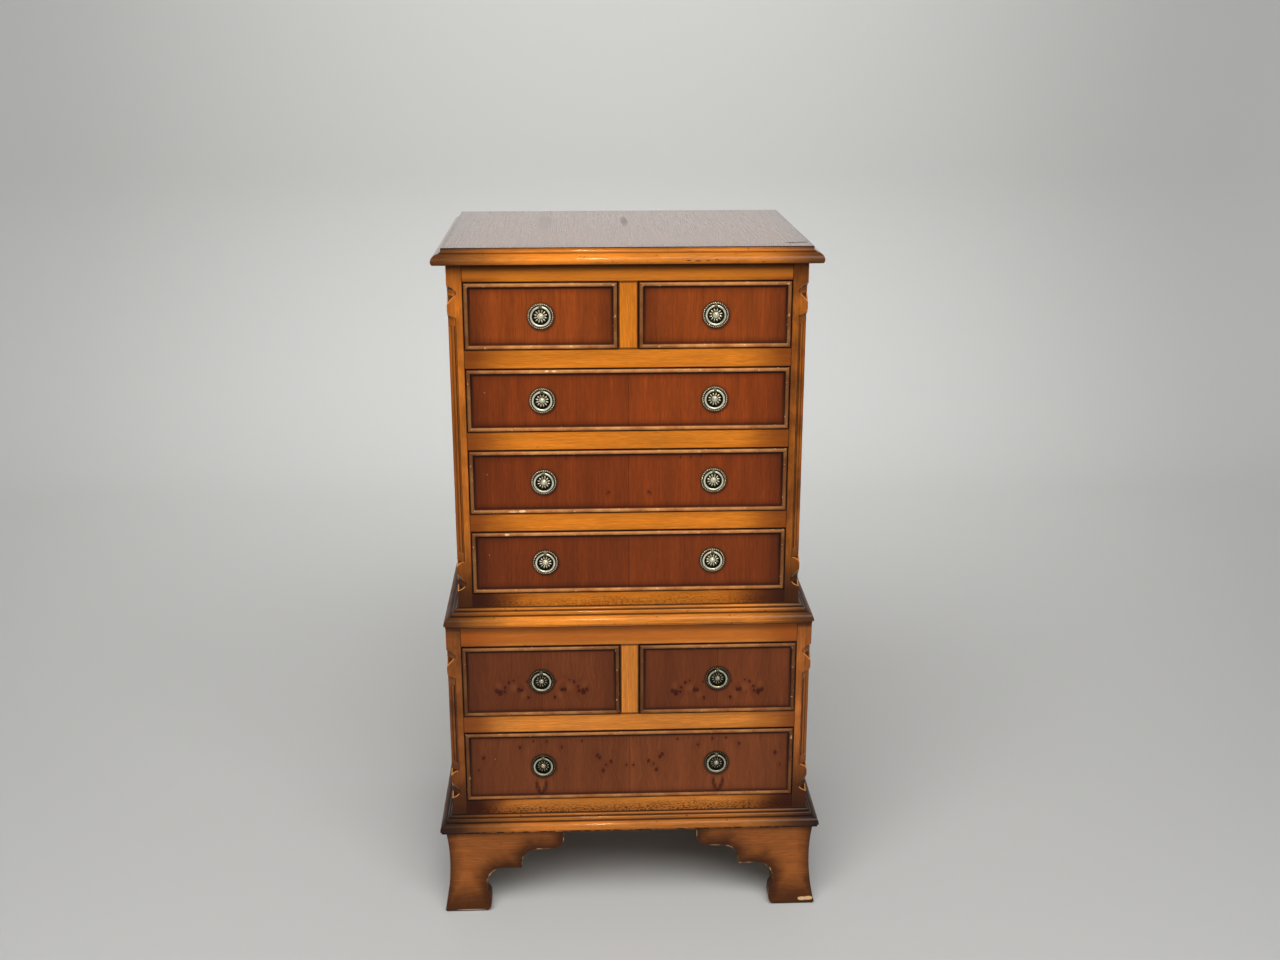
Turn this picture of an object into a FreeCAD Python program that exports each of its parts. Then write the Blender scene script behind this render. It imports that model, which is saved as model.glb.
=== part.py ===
import FreeCAD, Part
import math
import os
import re

import Sketcher
from FreeCAD import Placement, Rotation, Vector

# A small yew chest on chest: four rows of drawers over two, bracket feet, ring pulls.
# +Z is up, the drawers face -Y, the origin is the floor point under the middle of the box.
# All lengths are in millimetres.
SIZES = {
    # carcases
    "upper_width": 474,
    "upper_depth": 385,
    "lower_step": 17.5,
    "side_thick": 15,
    "post_width": 20.5,
    "rail_height": 25,
    "rail_depth": 50,
    "divider_width": 26,
    "back_thick": 5,
    "rebate_width": 7,
    "floor_thick": 12,
    # heights of the parts of the front, from the floor up
    "foot_height": 128,
    "base_height": 24,
    "base_reveal": 21.5,
    "lower_drawer_height": 106.5,
    "lower_head_height": 27.5,
    "waist_height": 25,
    "waist_reveal": 19.5,
    "upper_drawer_height": 90.5,
    "second_drawer_height": 87,
    "upper_head_height": 24,
    "top_thick": 21,
    # mouldings, measured out from the carcase faces
    "base_projection": 17.5,
    "waist_projection": 20,
    "top_overhang": 18,
    "top_inset": 12.7,
    "top_flat": 3.3,
    # canted corner posts
    "cant_leg": 11.5,
    "notch_leg": 12.5,
    "notch_margin": 4,
    "notch_length": 26,
    "notch_ramp": 12,
    "knuckle_length": 7,
    "cant_ramp": 10,
    "flute_margin": 10,
    # bracket feet
    "foot_length": 176,
    "foot_thick": 22,
    "foot_recess": 7.5,
    "toe_recess": 3,
    "toe_rise": 5,
    "block_width": 32,
    "block_lift": 4,
    "brace_thick": 16,
    "brace_inset": 8,
    "brace_length": 100,
    "brace_toe": 40,
    # runners, guides and stops behind the front
    "runner_width": 22,
    "middle_runner_width": 60,
    "guide_height": 14,
    "stop_width": 30,
    "stop_depth": 12,
    "stop_height": 5,
    # drawers
    "front_thick": 18,
    "bead_width": 6.5,
    "bead_seat": 10,
    "bead_proud": 3,
    "box_side_thick": 9,
    "box_drop": 5,
    "box_back_drop": 8,
    "box_rear_space": 22,
    "panel_thick": 4,
    "panel_rise": 8,
    "groove_depth": 4.5,
    # ring pulls
    "upper_pull_shift": 0.5,
    "plate_radius": 17.8,
    "rim_width": 2.3,
    "rim_height": 2.6,
    "dish_height": 1.2,
    "rosette_radius": 9,
    "rosette_height": 2.2,
    "boss_radius": 3.8,
    "boss_height": 4.2,
    "ring_radius": 12.5,
    "ring_wire_radius": 1.7,
    "ring_stand": 3.7,
    "lug_width": 4.6,
    "lug_wall": 0.7,
    "shank_radius": 2,
    "nut_radius": 4.2,
    "nut_thick": 3,
    # screws in the backs
    "screw_head_radius": 3.2,
    "screw_head_depth": 1.8,
    "screw_shank_radius": 1.5,
    "screw_length": 18,
    "screw_edge": 40,
    # clearances
    "drawer_gap": 0.8,
    "run_gap": 0.3,
    "stop_gap": 0.3,
    "panel_gap": 0.3,
    "eye_gap": 0.4,
    "shank_gap": 0.25,
    "seat_gap": 0.05,
    "cut_overrun": 1,
}

# Sizes that follow from those above.
DERIVED = {
    "lower_width": "upper_width + 2 * lower_step",
    "lower_depth": "upper_depth + lower_step",
    "lip_half": "lower_width / 2 + base_projection",
    "back_y": "(lower_depth + base_projection) / 2",
    "upper_front_y": "back_y - upper_depth",
    "lower_front_y": "back_y - lower_depth",
    "lip_front_y": "lower_front_y - base_projection",
    "upper_bay": "upper_width - 2 * post_width",
    "lower_bay": "lower_width - 2 * post_width",
    "upper_small_bay": "(upper_bay - divider_width) / 2",
    "lower_small_bay": "(lower_bay - divider_width) / 2",
    "upper_small_x": "(upper_bay + divider_width) / 4",
    "lower_small_x": "(lower_bay + divider_width) / 4",
    "upper_pull_x": "upper_small_x + upper_pull_shift",
    "lower_pull_x": "lower_small_x",
    "bottom_row_z": "foot_height + base_height + base_reveal",
    "lower_row_z": "bottom_row_z + lower_drawer_height + rail_height",
    "lower_head_z": "lower_row_z + lower_drawer_height",
    "lower_top_z": "lower_head_z + lower_head_height",
    "fourth_row_z": "lower_top_z + waist_height + waist_reveal",
    "third_row_z": "fourth_row_z + upper_drawer_height + rail_height",
    "second_row_z": "third_row_z + upper_drawer_height + rail_height",
    "top_row_z": "second_row_z + second_drawer_height + rail_height",
    "upper_head_z": "top_row_z + upper_drawer_height",
    "upper_top_z": "upper_head_z + upper_head_height",
    "top_lipping": "top_inset + top_flat",
    "foot_inner": "foot_recess + foot_thick",
    "cant_depth": "cant_leg / sqrt(2)",
    "notch_depth": "notch_leg / sqrt(2)",
    "flute_radius": "cant_leg / 4",
    "flute_axis_depth": "cant_depth - flute_radius / 2",
    "flute_offset": "cant_leg * 0.27",
    "bead_depth": "bead_seat + bead_proud",
    "eye_radius": "ring_wire_radius + eye_gap",
    "lug_half": "eye_radius + lug_wall",
    "shank_hole_radius": "shank_radius + shank_gap",
}

# Edge of the waist and base mouldings from the lower back corner round to the top:
# share of the projection in from the lip, share of the height, then bow and turn of an arc.
MOULDING_SHARES = (
    (1.00, 0.00),
    (0.10, 0.00),
    (0.10, 0.10),
    (0.00, 0.15),
    (0.00, 0.25),
    (0.46, 0.61, 0.75, -1),
    (0.51, 0.60),
    (0.53, 0.68),
    (0.75, 0.83, 0.64, -1),
    (0.77, 0.82),
    (0.97, 0.98, 0.64, -1),
    (1.00, 1.00),
)

# Edge of the top in the same order, with shares of its inset and of its thickness.
TOP_EDGE_SHARES = (
    (0.16, 0.00),
    (0.00, 0.20, 1.30, -1),
    (0.00, 0.26),
    (0.77, 0.67, 0.75, -1),
    (0.77, 0.72),
    (0.85, 0.72),
    (1.00, 0.90, 0.90, 1),
    (1.00, 1.00),
)

# Lower edge of a bracket foot from the toe to the tip of the wing:
# share of the length, share of the height, then bow and turn of an arc.
FOOT_SHARES = (
    (0.341, 0.000),
    (0.392, 0.133, 0.70, 1),
    (0.364, 0.242, 1.00, 1),
    (0.364, 0.328),
    (0.489, 0.516, 0.72, -1),
    (0.648, 0.516),
    (0.653, 0.578),
    (0.773, 0.746, 0.72, -1),
    (0.909, 0.754),
    (1.000, 0.879, 0.72, 1),
)

SWEEP_SHARE = 2.7
TOE_SHARE = 0.9
ROUND_SHARE = 0.7072
SCOOP_SHARE = 0.85
DOME_SHARE = 1.1
BRACE_SHARE = 0.55
SCREW_SHARES = (0, 1 / 3, 2 / 3, 1)

NAMES = set(SIZES) | set(DERIVED)
UPRIGHT = Rotation()

doc = FreeCAD.newDocument("chest_on_chest")
sheet = doc.addObject("Spreadsheet::Sheet", "Sizes")
for line, (alias, number) in enumerate(SIZES.items(), 1):
    sheet.set(f"A{line}", alias)
    sheet.set(f"B{line}", str(number))
    sheet.setAlias(f"B{line}", alias)
for line, (alias, text) in enumerate(DERIVED.items(), len(SIZES) + 1):
    sheet.set(f"A{line}", alias)
    sheet.set(f"B{line}", f"={text}")
    sheet.setAlias(f"B{line}", alias)
doc.recompute()


def formula(text):
    # Plain size names become references to the sheet.
    return re.sub(r"[a-z_]+", lambda word: f"Sizes.{word[0]}" if word[0] in NAMES else word[0], str(text))


def value(text):
    return float(sheet.evalExpression(formula(text)))


def tie(thing, **formulas):
    for name, text in formulas.items():
        thing.setExpression(name, formula(text))


def place(thing, x, y, z, turn=UPRIGHT):
    thing.Placement = Placement(Vector(), turn)
    for axis, text in zip("xyz", (x, y, z)):
        thing.setExpression(f"Placement.Base.{axis}", formula(text))
    return thing


def board(name, start, size):
    # A square-edged board from its lowest corner.
    thing = doc.addObject("Part::Box", name)
    tie(thing, Length=size[0], Width=size[1], Height=size[2])
    return place(thing, *start)


def cut(name, base, tool):
    thing = doc.addObject("Part::Cut", name)
    thing.Base = base
    thing.Tool = tool
    return thing


def group(name, members):
    thing = doc.addObject("Part::Compound", name)
    thing.Links = members
    return thing


def arc(start, stop, bow, turn):
    # The short arc between two points; its radius is bow times the chord.
    chord = stop - start
    radius = bow * chord.Length
    rise = math.sqrt(max(radius ** 2 - (chord.Length / 2) ** 2, 0))
    left = Vector(-chord.y, chord.x, 0).normalize()
    middle = start + chord * 0.5 + left * (turn * rise)
    first, last = (start, stop) if turn > 0 else (stop, start)
    angles = [math.atan2(spot.y - middle.y, spot.x - middle.x) for spot in (first, last)]
    if angles[1] < angles[0]:
        angles[1] += 2 * math.pi
    return Part.ArcOfCircle(Part.Circle(middle, Vector(0, 0, 1), radius), *angles)


def draw(sketch, steps):
    # A closed line of straight and arc steps, every corner tied to the sheet.
    first = sketch.GeometryCount
    spots = [Vector(value(step[0]), value(step[1]), 0) for step in steps]
    ends = []
    for number, step in enumerate(steps):
        start, stop = spots[number - 1], spots[number]
        if len(step) == 2:
            sketch.addGeometry(Part.LineSegment(start, stop), False)
            ends.append((1, 2))
        else:
            sketch.addGeometry(arc(start, stop, *step[2:]), False)
            ends.append((1, 2) if step[3] > 0 else (2, 1))
    for number, step in enumerate(steps):
        after = (number + 1) % len(steps)
        here, end = first + number, ends[number][1]
        sketch.addConstraint(Sketcher.Constraint("Coincident", here, end, first + after, ends[after][0]))
        for kind, text in zip(("DistanceX", "DistanceY"), step[:2]):
            pin = sketch.addConstraint(Sketcher.Constraint(kind, -1, 1, here, end, value(text)))
            sketch.setExpression(f"Constraints[{pin}]", formula(text))
        if len(step) > 2:
            before = steps[number - 1]
            across, along = (f"({now} - ({then}))^2" for now, then in zip(step[:2], before[:2]))
            text = f"{step[2]} * sqrt({across} + {along})"
            pin = sketch.addConstraint(Sketcher.Constraint("Radius", here, value(text)))
            sketch.setExpression(f"Constraints[{pin}]", formula(text))


def circle(sketch, x, y, radius):
    number = sketch.addGeometry(Part.Circle(Vector(value(x), value(y), 0), Vector(0, 0, 1), value(radius)))
    for kind, text in zip(("DistanceX", "DistanceY"), (x, y)):
        pin = sketch.addConstraint(Sketcher.Constraint(kind, -1, 1, number, 3, value(text)))
        sketch.setExpression(f"Constraints[{pin}]", formula(text))
    pin = sketch.addConstraint(Sketcher.Constraint("Radius", number, value(radius)))
    sketch.setExpression(f"Constraints[{pin}]", formula(radius))


def plane_of(body, role):
    return next(plane for plane in body.Origin.OriginFeatures if plane.Role == role)


def sketch_on(body, role, name):
    sketch = body.newObject("Sketcher::SketchObject", name)
    sketch.AttachmentSupport = [(plane_of(body, role), "")]
    sketch.MapMode = "FlatFace"
    return sketch


def pad(body, sketch, length, back=False, both=False):
    feature = body.newObject("PartDesign::Pad", f"{sketch.Name}_pad")
    feature.Profile = sketch
    feature.Reversed = back
    feature.SideType = "Symmetric" if both else "One side"
    tie(feature, Length=length)


def pocket(body, sketch, length=None):
    # Cuts evenly to both sides of the sketch, right through when no length is given.
    feature = body.newObject("PartDesign::Pocket", f"{sketch.Name}_cut")
    feature.Profile = sketch
    feature.SideType = "Symmetric"
    if length is None:
        feature.Type = "ThroughAll"
    else:
        tie(feature, Length=length)


def spin(body, sketch, kind):
    feature = body.newObject(f"PartDesign::{kind}", f"{sketch.Name}_spin")
    feature.Profile = sketch
    feature.ReferenceAxis = (sketch, ["V_Axis"])
    feature.Angle = 360
    return feature


def strip(name, edge, length, width, start_mitre, end_mitre):
    # A moulded strip along X: outer edge on Y = 0, underside on Z = 0, mitred at 45 degrees.
    body = doc.addObject("PartDesign::Body", name)
    profile = sketch_on(body, "YZ_Plane", f"{name}_edge")
    draw(profile, edge)
    pad(body, profile, length)
    ends = sketch_on(body, "XY_Plane", f"{name}_mitres")
    outer, inner = "-cut_overrun", f"{width} + cut_overrun"
    if start_mitre:
        draw(ends, ((outer, outer), (inner, inner), (outer, inner)))
    if end_mitre:
        far, near = f"{length} + cut_overrun", f"{length} - ({inner})"
        draw(ends, ((far, outer), (far, inner), (near, inner)))
    pocket(body, ends)
    return body


def scaled(shares, across, up):
    return [(f"{step[0]} * {across}", f"{step[1]} * {up}", *step[2:]) for step in shares]


def moulding(name, edge, width, lip_x, front_y, floor_z):
    # Front strip and two returns that run square to the back.
    depth = f"(back_y - ({front_y}))"
    front = strip(f"{name}_front", edge, f"2 * ({lip_x})", width, True, True)
    place(front, f"-({lip_x})", front_y, floor_z)
    left = strip(f"{name}_left", edge, depth, width, False, True)
    place(left, f"-({lip_x})", "back_y", floor_z, Rotation(Vector(0, 0, 1), -90))
    right = strip(f"{name}_right", edge, depth, width, True, False)
    place(right, lip_x, front_y, floor_z, Rotation(Vector(0, 0, 1), 90))
    return group(name, [front, left, right])


def post(name, height, low, high):
    # A square post turned so that its outer edge is the line X = Y = 0.
    # Between the rails the edge is canted and fluted, with a gouged notch beyond each end.
    body = doc.addObject("PartDesign::Body", name)
    section = sketch_on(body, "XY_Plane", f"{name}_section")
    half = "post_width / sqrt(2)"
    draw(section, (("0", "0"), (half, half), ("0", f"2 * {half}"), (f"-{half}", half)))
    pad(body, section, height)

    waste = sketch_on(body, "YZ_Plane", f"{name}_waste")
    foot, head = f"({low} + notch_margin)", f"({high} - notch_margin)"
    cant_foot = f"({foot} + notch_length + knuckle_length)"
    cant_head = f"({head} - notch_length - knuckle_length)"
    draw(waste, (
        ("-cut_overrun", foot),
        ("0", foot),
        ("notch_depth", f"{foot} + notch_ramp", SCOOP_SHARE, 1),
        ("0", f"{foot} + notch_length"),
        ("-cut_overrun", f"{foot} + notch_length"),
    ))
    draw(waste, (
        ("-cut_overrun", cant_foot),
        ("0", cant_foot),
        ("cant_depth", f"{cant_foot} + cant_ramp", SCOOP_SHARE, -1),
        ("cant_depth", f"{cant_head} - cant_ramp"),
        ("0", cant_head, SCOOP_SHARE, -1),
        ("-cut_overrun", cant_head),
    ))
    draw(waste, (
        ("-cut_overrun", f"{head} - notch_length"),
        ("0", f"{head} - notch_length"),
        ("notch_depth", f"{head} - notch_ramp"),
        ("0", head, SCOOP_SHARE, 1),
        ("-cut_overrun", head),
    ))
    pocket(body, waste)

    for side in (-1, 1):
        flute = sketch_on(body, "YZ_Plane", f"{name}_flute")
        tie(flute, **{
            "AttachmentOffset.Base.x": "flute_axis_depth",
            "AttachmentOffset.Base.z": f"{side} * flute_offset",
        })
        start = f"{cant_foot} + cant_ramp + flute_margin"
        stop = f"{cant_head} - cant_ramp - flute_margin"
        draw(flute, (
            ("0", start),
            ("flute_radius", f"{start} + flute_radius", ROUND_SHARE, 1),
            ("flute_radius", f"{stop} - flute_radius"),
            ("0", stop, ROUND_SHARE, 1),
        ))
        spin(body, flute, "Groove")
    return body


def bracket(name, side, mitred):
    # A foot board with a shaped lower edge and a swept face.
    # X runs from the corner to the wing, Y inward from the lip of the base moulding.
    body = doc.addObject("PartDesign::Body", name)
    section = sketch_on(body, "YZ_Plane", f"{name}_section")
    draw(section, (
        ("foot_inner", "0"),
        ("toe_recess + toe_rise / 2", "0"),
        ("toe_recess", "toe_rise", TOE_SHARE, -1),
        ("foot_recess", "foot_height", SWEEP_SHARE, 1),
        ("foot_inner", "foot_height"),
    ))
    pad(body, section, "foot_length", back=side < 0)

    waste = sketch_on(body, "XZ_Plane", f"{name}_waste")
    edge = [(f"{side} * {step[0]} * foot_length", f"{step[1]} * foot_height") for step in FOOT_SHARES]
    arcs = [(step[2], side * step[3]) if len(step) > 2 else () for step in FOOT_SHARES]
    outside = f"{side} * (foot_length + cut_overrun)"
    draw(waste, (
        (edge[0][0], "-cut_overrun"),
        *((*corner, *bend) for corner, bend in zip(edge, arcs)),
        (outside, edge[-1][1]),
        (outside, "-cut_overrun"),
    ))
    pocket(body, waste)

    if mitred:
        corner = sketch_on(body, "XY_Plane", f"{name}_mitre")
        outer, inner = "-cut_overrun", "foot_inner + cut_overrun"
        draw(corner, (
            (f"{side} * ({outer})", outer),
            (f"{side} * ({inner})", inner),
            (f"{side} * ({outer})", inner),
        ))
        pocket(body, corner)
    return body


def front_foot(name, side):
    quarter = Rotation(Vector(0, 0, 1), 90 * side)
    corner_x = f"{side} * lip_half"
    front = place(bracket(f"{name}_front", -side, True), corner_x, "lip_front_y", "0")
    flank = place(bracket(f"{name}_flank", side, True), corner_x, "lip_front_y", "0", quarter)
    block_x = f"{side} * (lip_half - foot_inner - block_width / 2) - block_width / 2"
    start = (block_x, "lip_front_y + foot_inner", "block_lift")
    block = board(f"{name}_block", start, ("block_width", "block_width", "foot_height - block_lift"))
    return group(name, [front, flank, block])


def rear_foot(name, side):
    # Shaped on the flank, with a plain brace at the back.
    quarter = Rotation(Vector(0, 0, 1), 90 * side)
    flank = place(bracket(f"{name}_flank", -side, False), f"{side} * lip_half", "back_y", "0", quarter)
    brace = doc.addObject("PartDesign::Body", f"{name}_brace")
    outline = sketch_on(brace, "XZ_Plane", f"{name}_brace_outline")
    draw(outline, (
        ("0", "0"),
        (f"{-side} * brace_toe", "0"),
        (f"{-side} * brace_length", f"{BRACE_SHARE} * foot_height"),
        (f"{-side} * brace_length", "foot_height"),
        ("0", "foot_height"),
    ))
    pad(brace, outline, "brace_thick")
    place(brace, f"{side} * (lip_half - foot_inner)", "back_y - brace_inset", "0")
    block_x = f"{side} * (lip_half - foot_inner - block_width / 2) - block_width / 2"
    block_y = "back_y - brace_inset - brace_thick - block_width"
    start = (block_x, block_y, "block_lift")
    block = board(f"{name}_block", start, ("block_width", "block_width", "foot_height - block_lift"))
    return [flank, brace, block]


def back_screws(chest, floor_z, top_z):
    # Countersunk screws through the edges of a back into the sides.
    screws = []
    for side in (-1, 1):
        for number, share in enumerate(SCREW_SHARES):
            name = f"{chest}_screw_{'left' if side < 0 else 'right'}_{number}"
            body = doc.addObject("PartDesign::Body", name)
            half = sketch_on(body, "XY_Plane", f"{name}_half")
            draw(half, (
                ("0", "0"),
                ("screw_head_radius", "0"),
                ("screw_shank_radius", "-screw_head_depth"),
                ("screw_shank_radius", "-screw_length"),
                ("0", "-screw_length"),
            ))
            spin(body, half, "Revolution")
            x = f"{side} * ({chest}_width / 2 - side_thick + rebate_width / 2)"
            run = f"({top_z} - ({floor_z}) - 2 * screw_edge)"
            screws.append(place(body, x, "back_y", f"{floor_z} + screw_edge + {share} * {run}"))
    return screws


def carcase(chest, floor_z, top_z):
    # Two sides and a back let into rebates along their rear edges.
    screws = back_screws(chest, floor_z, top_z)
    holes = group(f"{chest}_screw_holes", screws)
    height = f"{top_z} - ({floor_z})"
    length = f"{chest}_depth - post_width"
    for side, hand in ((-1, "left"), (1, "right")):
        name = f"{chest}_{hand}_side"
        middle = f"{side} * ({chest}_width - side_thick) / 2"
        x = f"{middle} - side_thick / 2"
        start = (x, f"{chest}_front_y + post_width", floor_z)
        plank = board(f"{name}_plank", start, ("side_thick", length, height))
        inner = f"{side} * ({chest}_width / 2 - side_thick + rebate_width / 2) - rebate_width / 2"
        start = (inner, "back_y - back_thick", floor_z)
        rebate = board(f"{name}_rebate", start, ("rebate_width", "back_thick", height))
        cut(name, cut(f"{name}_rebated", plank, rebate), holes)
    half = f"({chest}_width / 2 - side_thick + rebate_width)"
    sheet_start = (f"-{half}", "back_y - back_thick", floor_z)
    panel = board(f"{chest}_back_panel", sheet_start, (f"2 * {half}", "back_thick", height))
    cut(f"{chest}_back", panel, holes)

    posts = []
    for side in (-1, 1):
        name = f"{chest}_post_{'left' if side < 0 else 'right'}"
        low = f"({'bottom' if chest == 'lower' else 'fourth'}_row_z - ({floor_z}))"
        piece = post(name, height, low, f"({chest}_head_z - ({floor_z}))")
        turn = Rotation(Vector(0, 0, 1), 45 * side)
        posts.append(place(piece, f"{side} * {chest}_width / 2", f"{chest}_front_y", floor_z, turn))
    group(f"{chest}_posts", posts)
    return screws


def rail(name, chest, height):
    # Fits between the posts in front and reaches the sides behind them.
    body = doc.addObject("PartDesign::Body", name)
    plan = sketch_on(body, "XY_Plane", f"{name}_plan")
    front, rear = f"({chest}_bay / 2)", f"({chest}_width / 2 - side_thick)"
    draw(plan, (
        (f"-{front}", "0"),
        (front, "0"),
        (front, "post_width"),
        (rear, "post_width"),
        (rear, "rail_depth"),
        (f"-{rear}", "rail_depth"),
        (f"-{rear}", "post_width"),
        (f"-{front}", "post_width"),
    ))
    pad(body, plan, height)
    return body


def rails(chest, floor_z, rows, top_z):
    # Rails between the posts and the short divider of the split row, the highest one.
    # rows holds the lower edge and the height of each row from the bottom up.
    members = []
    below = floor_z
    for number, (row_z, row_height) in enumerate((*rows, (top_z, None))):
        piece = rail(f"{chest}_rail_{number}", chest, f"{row_z} - ({below})")
        members.append(place(piece, "0", f"{chest}_front_y", below))
        below = f"{row_z} + {row_height}"
    split_z, split_height = rows[-1]
    start = ("-divider_width / 2", f"{chest}_front_y", split_z)
    members.append(board(f"{chest}_divider", start, ("divider_width", "rail_depth", split_height)))
    return group(f"{chest}_rails", members)


def runners(chest, rows, roof_z):
    # Runners level with the rails, guides beside the drawers and stops behind the fronts.
    # Kickers over the highest row fill the space up to the board above.
    start_y = f"{chest}_front_y + rail_depth"
    length = f"({chest}_depth - rail_depth - back_thick)"
    inner = f"({chest}_width / 2 - side_thick)"
    guide_width = "(post_width - side_thick)"
    stop_y = f"{chest}_front_y + front_thick + stop_gap"
    members = []
    split_z = rows[-1][0]
    kicker = (f"{chest}_head_z + run_gap", f"{roof_z} - ({chest}_head_z + run_gap)")
    for side, hand in ((-1, "left"), (1, "right")):
        runner_x = f"{side} * ({inner} - runner_width / 2) - runner_width / 2"
        guide_x = f"{side} * ({inner} - {guide_width} / 2) - {guide_width} / 2"
        stop_x = f"{side} * {chest}_pull_x - stop_width / 2"
        for number, (row_z, _) in enumerate(rows):
            name = f"{chest}_row_{number}_{hand}"
            start = (runner_x, start_y, f"{row_z} - rail_height + run_gap")
            members.append(board(f"{name}_runner", start, ("runner_width", length, "rail_height - run_gap")))
            start = (guide_x, start_y, row_z)
            members.append(board(f"{name}_guide", start, (guide_width, length, "guide_height")))
            start = (stop_x, stop_y, row_z)
            members.append(board(f"{name}_stop", start, ("stop_width", "stop_depth", "stop_height")))
        start = (runner_x, start_y, kicker[0])
        members.append(board(f"{chest}_{hand}_kicker", start, ("runner_width", length, kicker[1])))
    for name, low, tall in (
        ("runner", f"{split_z} - rail_height + run_gap", "rail_height - run_gap"),
        ("kicker", *kicker),
    ):
        start = ("-middle_runner_width / 2", start_y, low)
        members.append(board(f"{chest}_middle_{name}", start, ("middle_runner_width", length, tall)))
    start = ("-divider_width / 2", start_y, split_z)
    members.append(board(f"{chest}_middle_guide", start, ("divider_width", length, "guide_height")))
    return group(f"{chest}_runners", members)


def inner_board(name, chest, floor_z):
    # A level board between the sides, from the rails back to the back panel.
    half = f"({chest}_width / 2 - side_thick)"
    start = (f"-{half}", f"{chest}_front_y + rail_depth", floor_z)
    return board(name, start, (f"2 * {half}", f"{chest}_depth - rail_depth - back_thick", "floor_thick"))


def drawer_front(name, width, height, front_y, x, z, holes):
    # A core with a rebated edge and four mitred cock beads in the rebate.
    body = doc.addObject("PartDesign::Body", f"{name}_core")
    back = sketch_on(body, "XZ_Plane", f"{name}_backing")
    half = f"({width} / 2)"
    draw(back, ((f"-{half}", "0"), (half, "0"), (half, height), (f"-{half}", height)))
    pad(body, back, "front_thick - bead_seat", back=True)
    face = sketch_on(body, "XZ_Plane", f"{name}_face")
    inset, top = f"({half} - bead_width)", f"{height} - bead_width"
    draw(face, ((f"-{inset}", "bead_width"), (inset, "bead_width"), (inset, top), (f"-{inset}", top)))
    pad(body, face, "bead_seat")
    slot = sketch_on(body, "YZ_Plane", f"{name}_slot")
    rear, low = "(front_thick - bead_seat)", "(run_gap - drawer_gap + panel_rise)"
    draw(slot, (
        (f"{rear} - groove_depth", low),
        (f"{rear} + cut_overrun", low),
        (f"{rear} + cut_overrun", f"{low} + panel_thick"),
        (f"{rear} - groove_depth", f"{low} + panel_thick"),
    ))
    pocket(body, slot, f"{width} - 2 * box_side_thick + 2 * groove_depth")
    bores = sketch_on(body, "XZ_Plane", f"{name}_bores")
    for hole_x in holes:
        circle(bores, f"{hole_x} - ({x})", f"{height} / 2 + ring_radius", "shank_hole_radius")
    pocket(body, bores)
    seat_y = f"{front_y} + bead_seat"
    place(body, x, seat_y, z)

    nose = "bead_depth - bead_width / 2"
    edge = (
        ("bead_width", "0"),
        ("0", "0"),
        ("0", nose),
        ("bead_width / 2", "bead_depth", ROUND_SHARE, -1),
        ("bead_width", nose, ROUND_SHARE, -1),
    )
    members = [body]
    for number, (side, up) in enumerate(((-1, 0), (1, 0), (1, 1), (-1, 1))):
        length = height if number % 2 else width
        bead = strip(f"{name}_bead_{number}", edge, length, "bead_width", True, True)
        turn = Rotation(Vector(0, 1, 0), -90 * number) * Rotation(Vector(1, 0, 0), 90)
        members.append(place(bead, f"{x} + {side} * {half}", seat_y, f"{z} + {up} * ({height})", turn))
    return group(name, members)


def drawer_box(name, width, height, start_y, length, x, z):
    # Two grooved sides, a back on top of the bottom, and the bottom panel in the grooves.
    inner = f"({width} / 2 - box_side_thick)"
    groove_z = f"{z} + panel_rise"
    members = []
    for side, hand in ((-1, "left"), (1, "right")):
        middle = f"({x} + {side} * ({inner} + box_side_thick / 2))"
        start = (f"{middle} - box_side_thick / 2", start_y, z)
        plank = board(f"{name}_{hand}_plank", start, ("box_side_thick", length, height))
        middle = f"({x} + {side} * ({inner} + groove_depth / 2))"
        start = (f"{middle} - groove_depth / 2", start_y, groove_z)
        groove = board(f"{name}_{hand}_groove", start, ("groove_depth", length, "panel_thick"))
        members.append(cut(f"{name}_{hand}", plank, groove))
    half = f"({inner} + groove_depth - panel_gap)"
    ahead = "(groove_depth - panel_gap)"
    start = (f"{x} - {half}", f"{start_y} - {ahead}", groove_z)
    members.append(board(f"{name}_panel", start, (f"2 * {half}", f"{length} + {ahead}", "panel_thick")))
    start = (f"{x} - {inner}", f"{start_y} + {length} - box_side_thick", f"{groove_z} + panel_thick")
    tall = f"{height} - panel_rise - panel_thick - box_back_drop"
    members.append(board(f"{name}_back", start, (f"2 * {inner}", "box_side_thick", tall)))
    return group(name, members)


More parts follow.
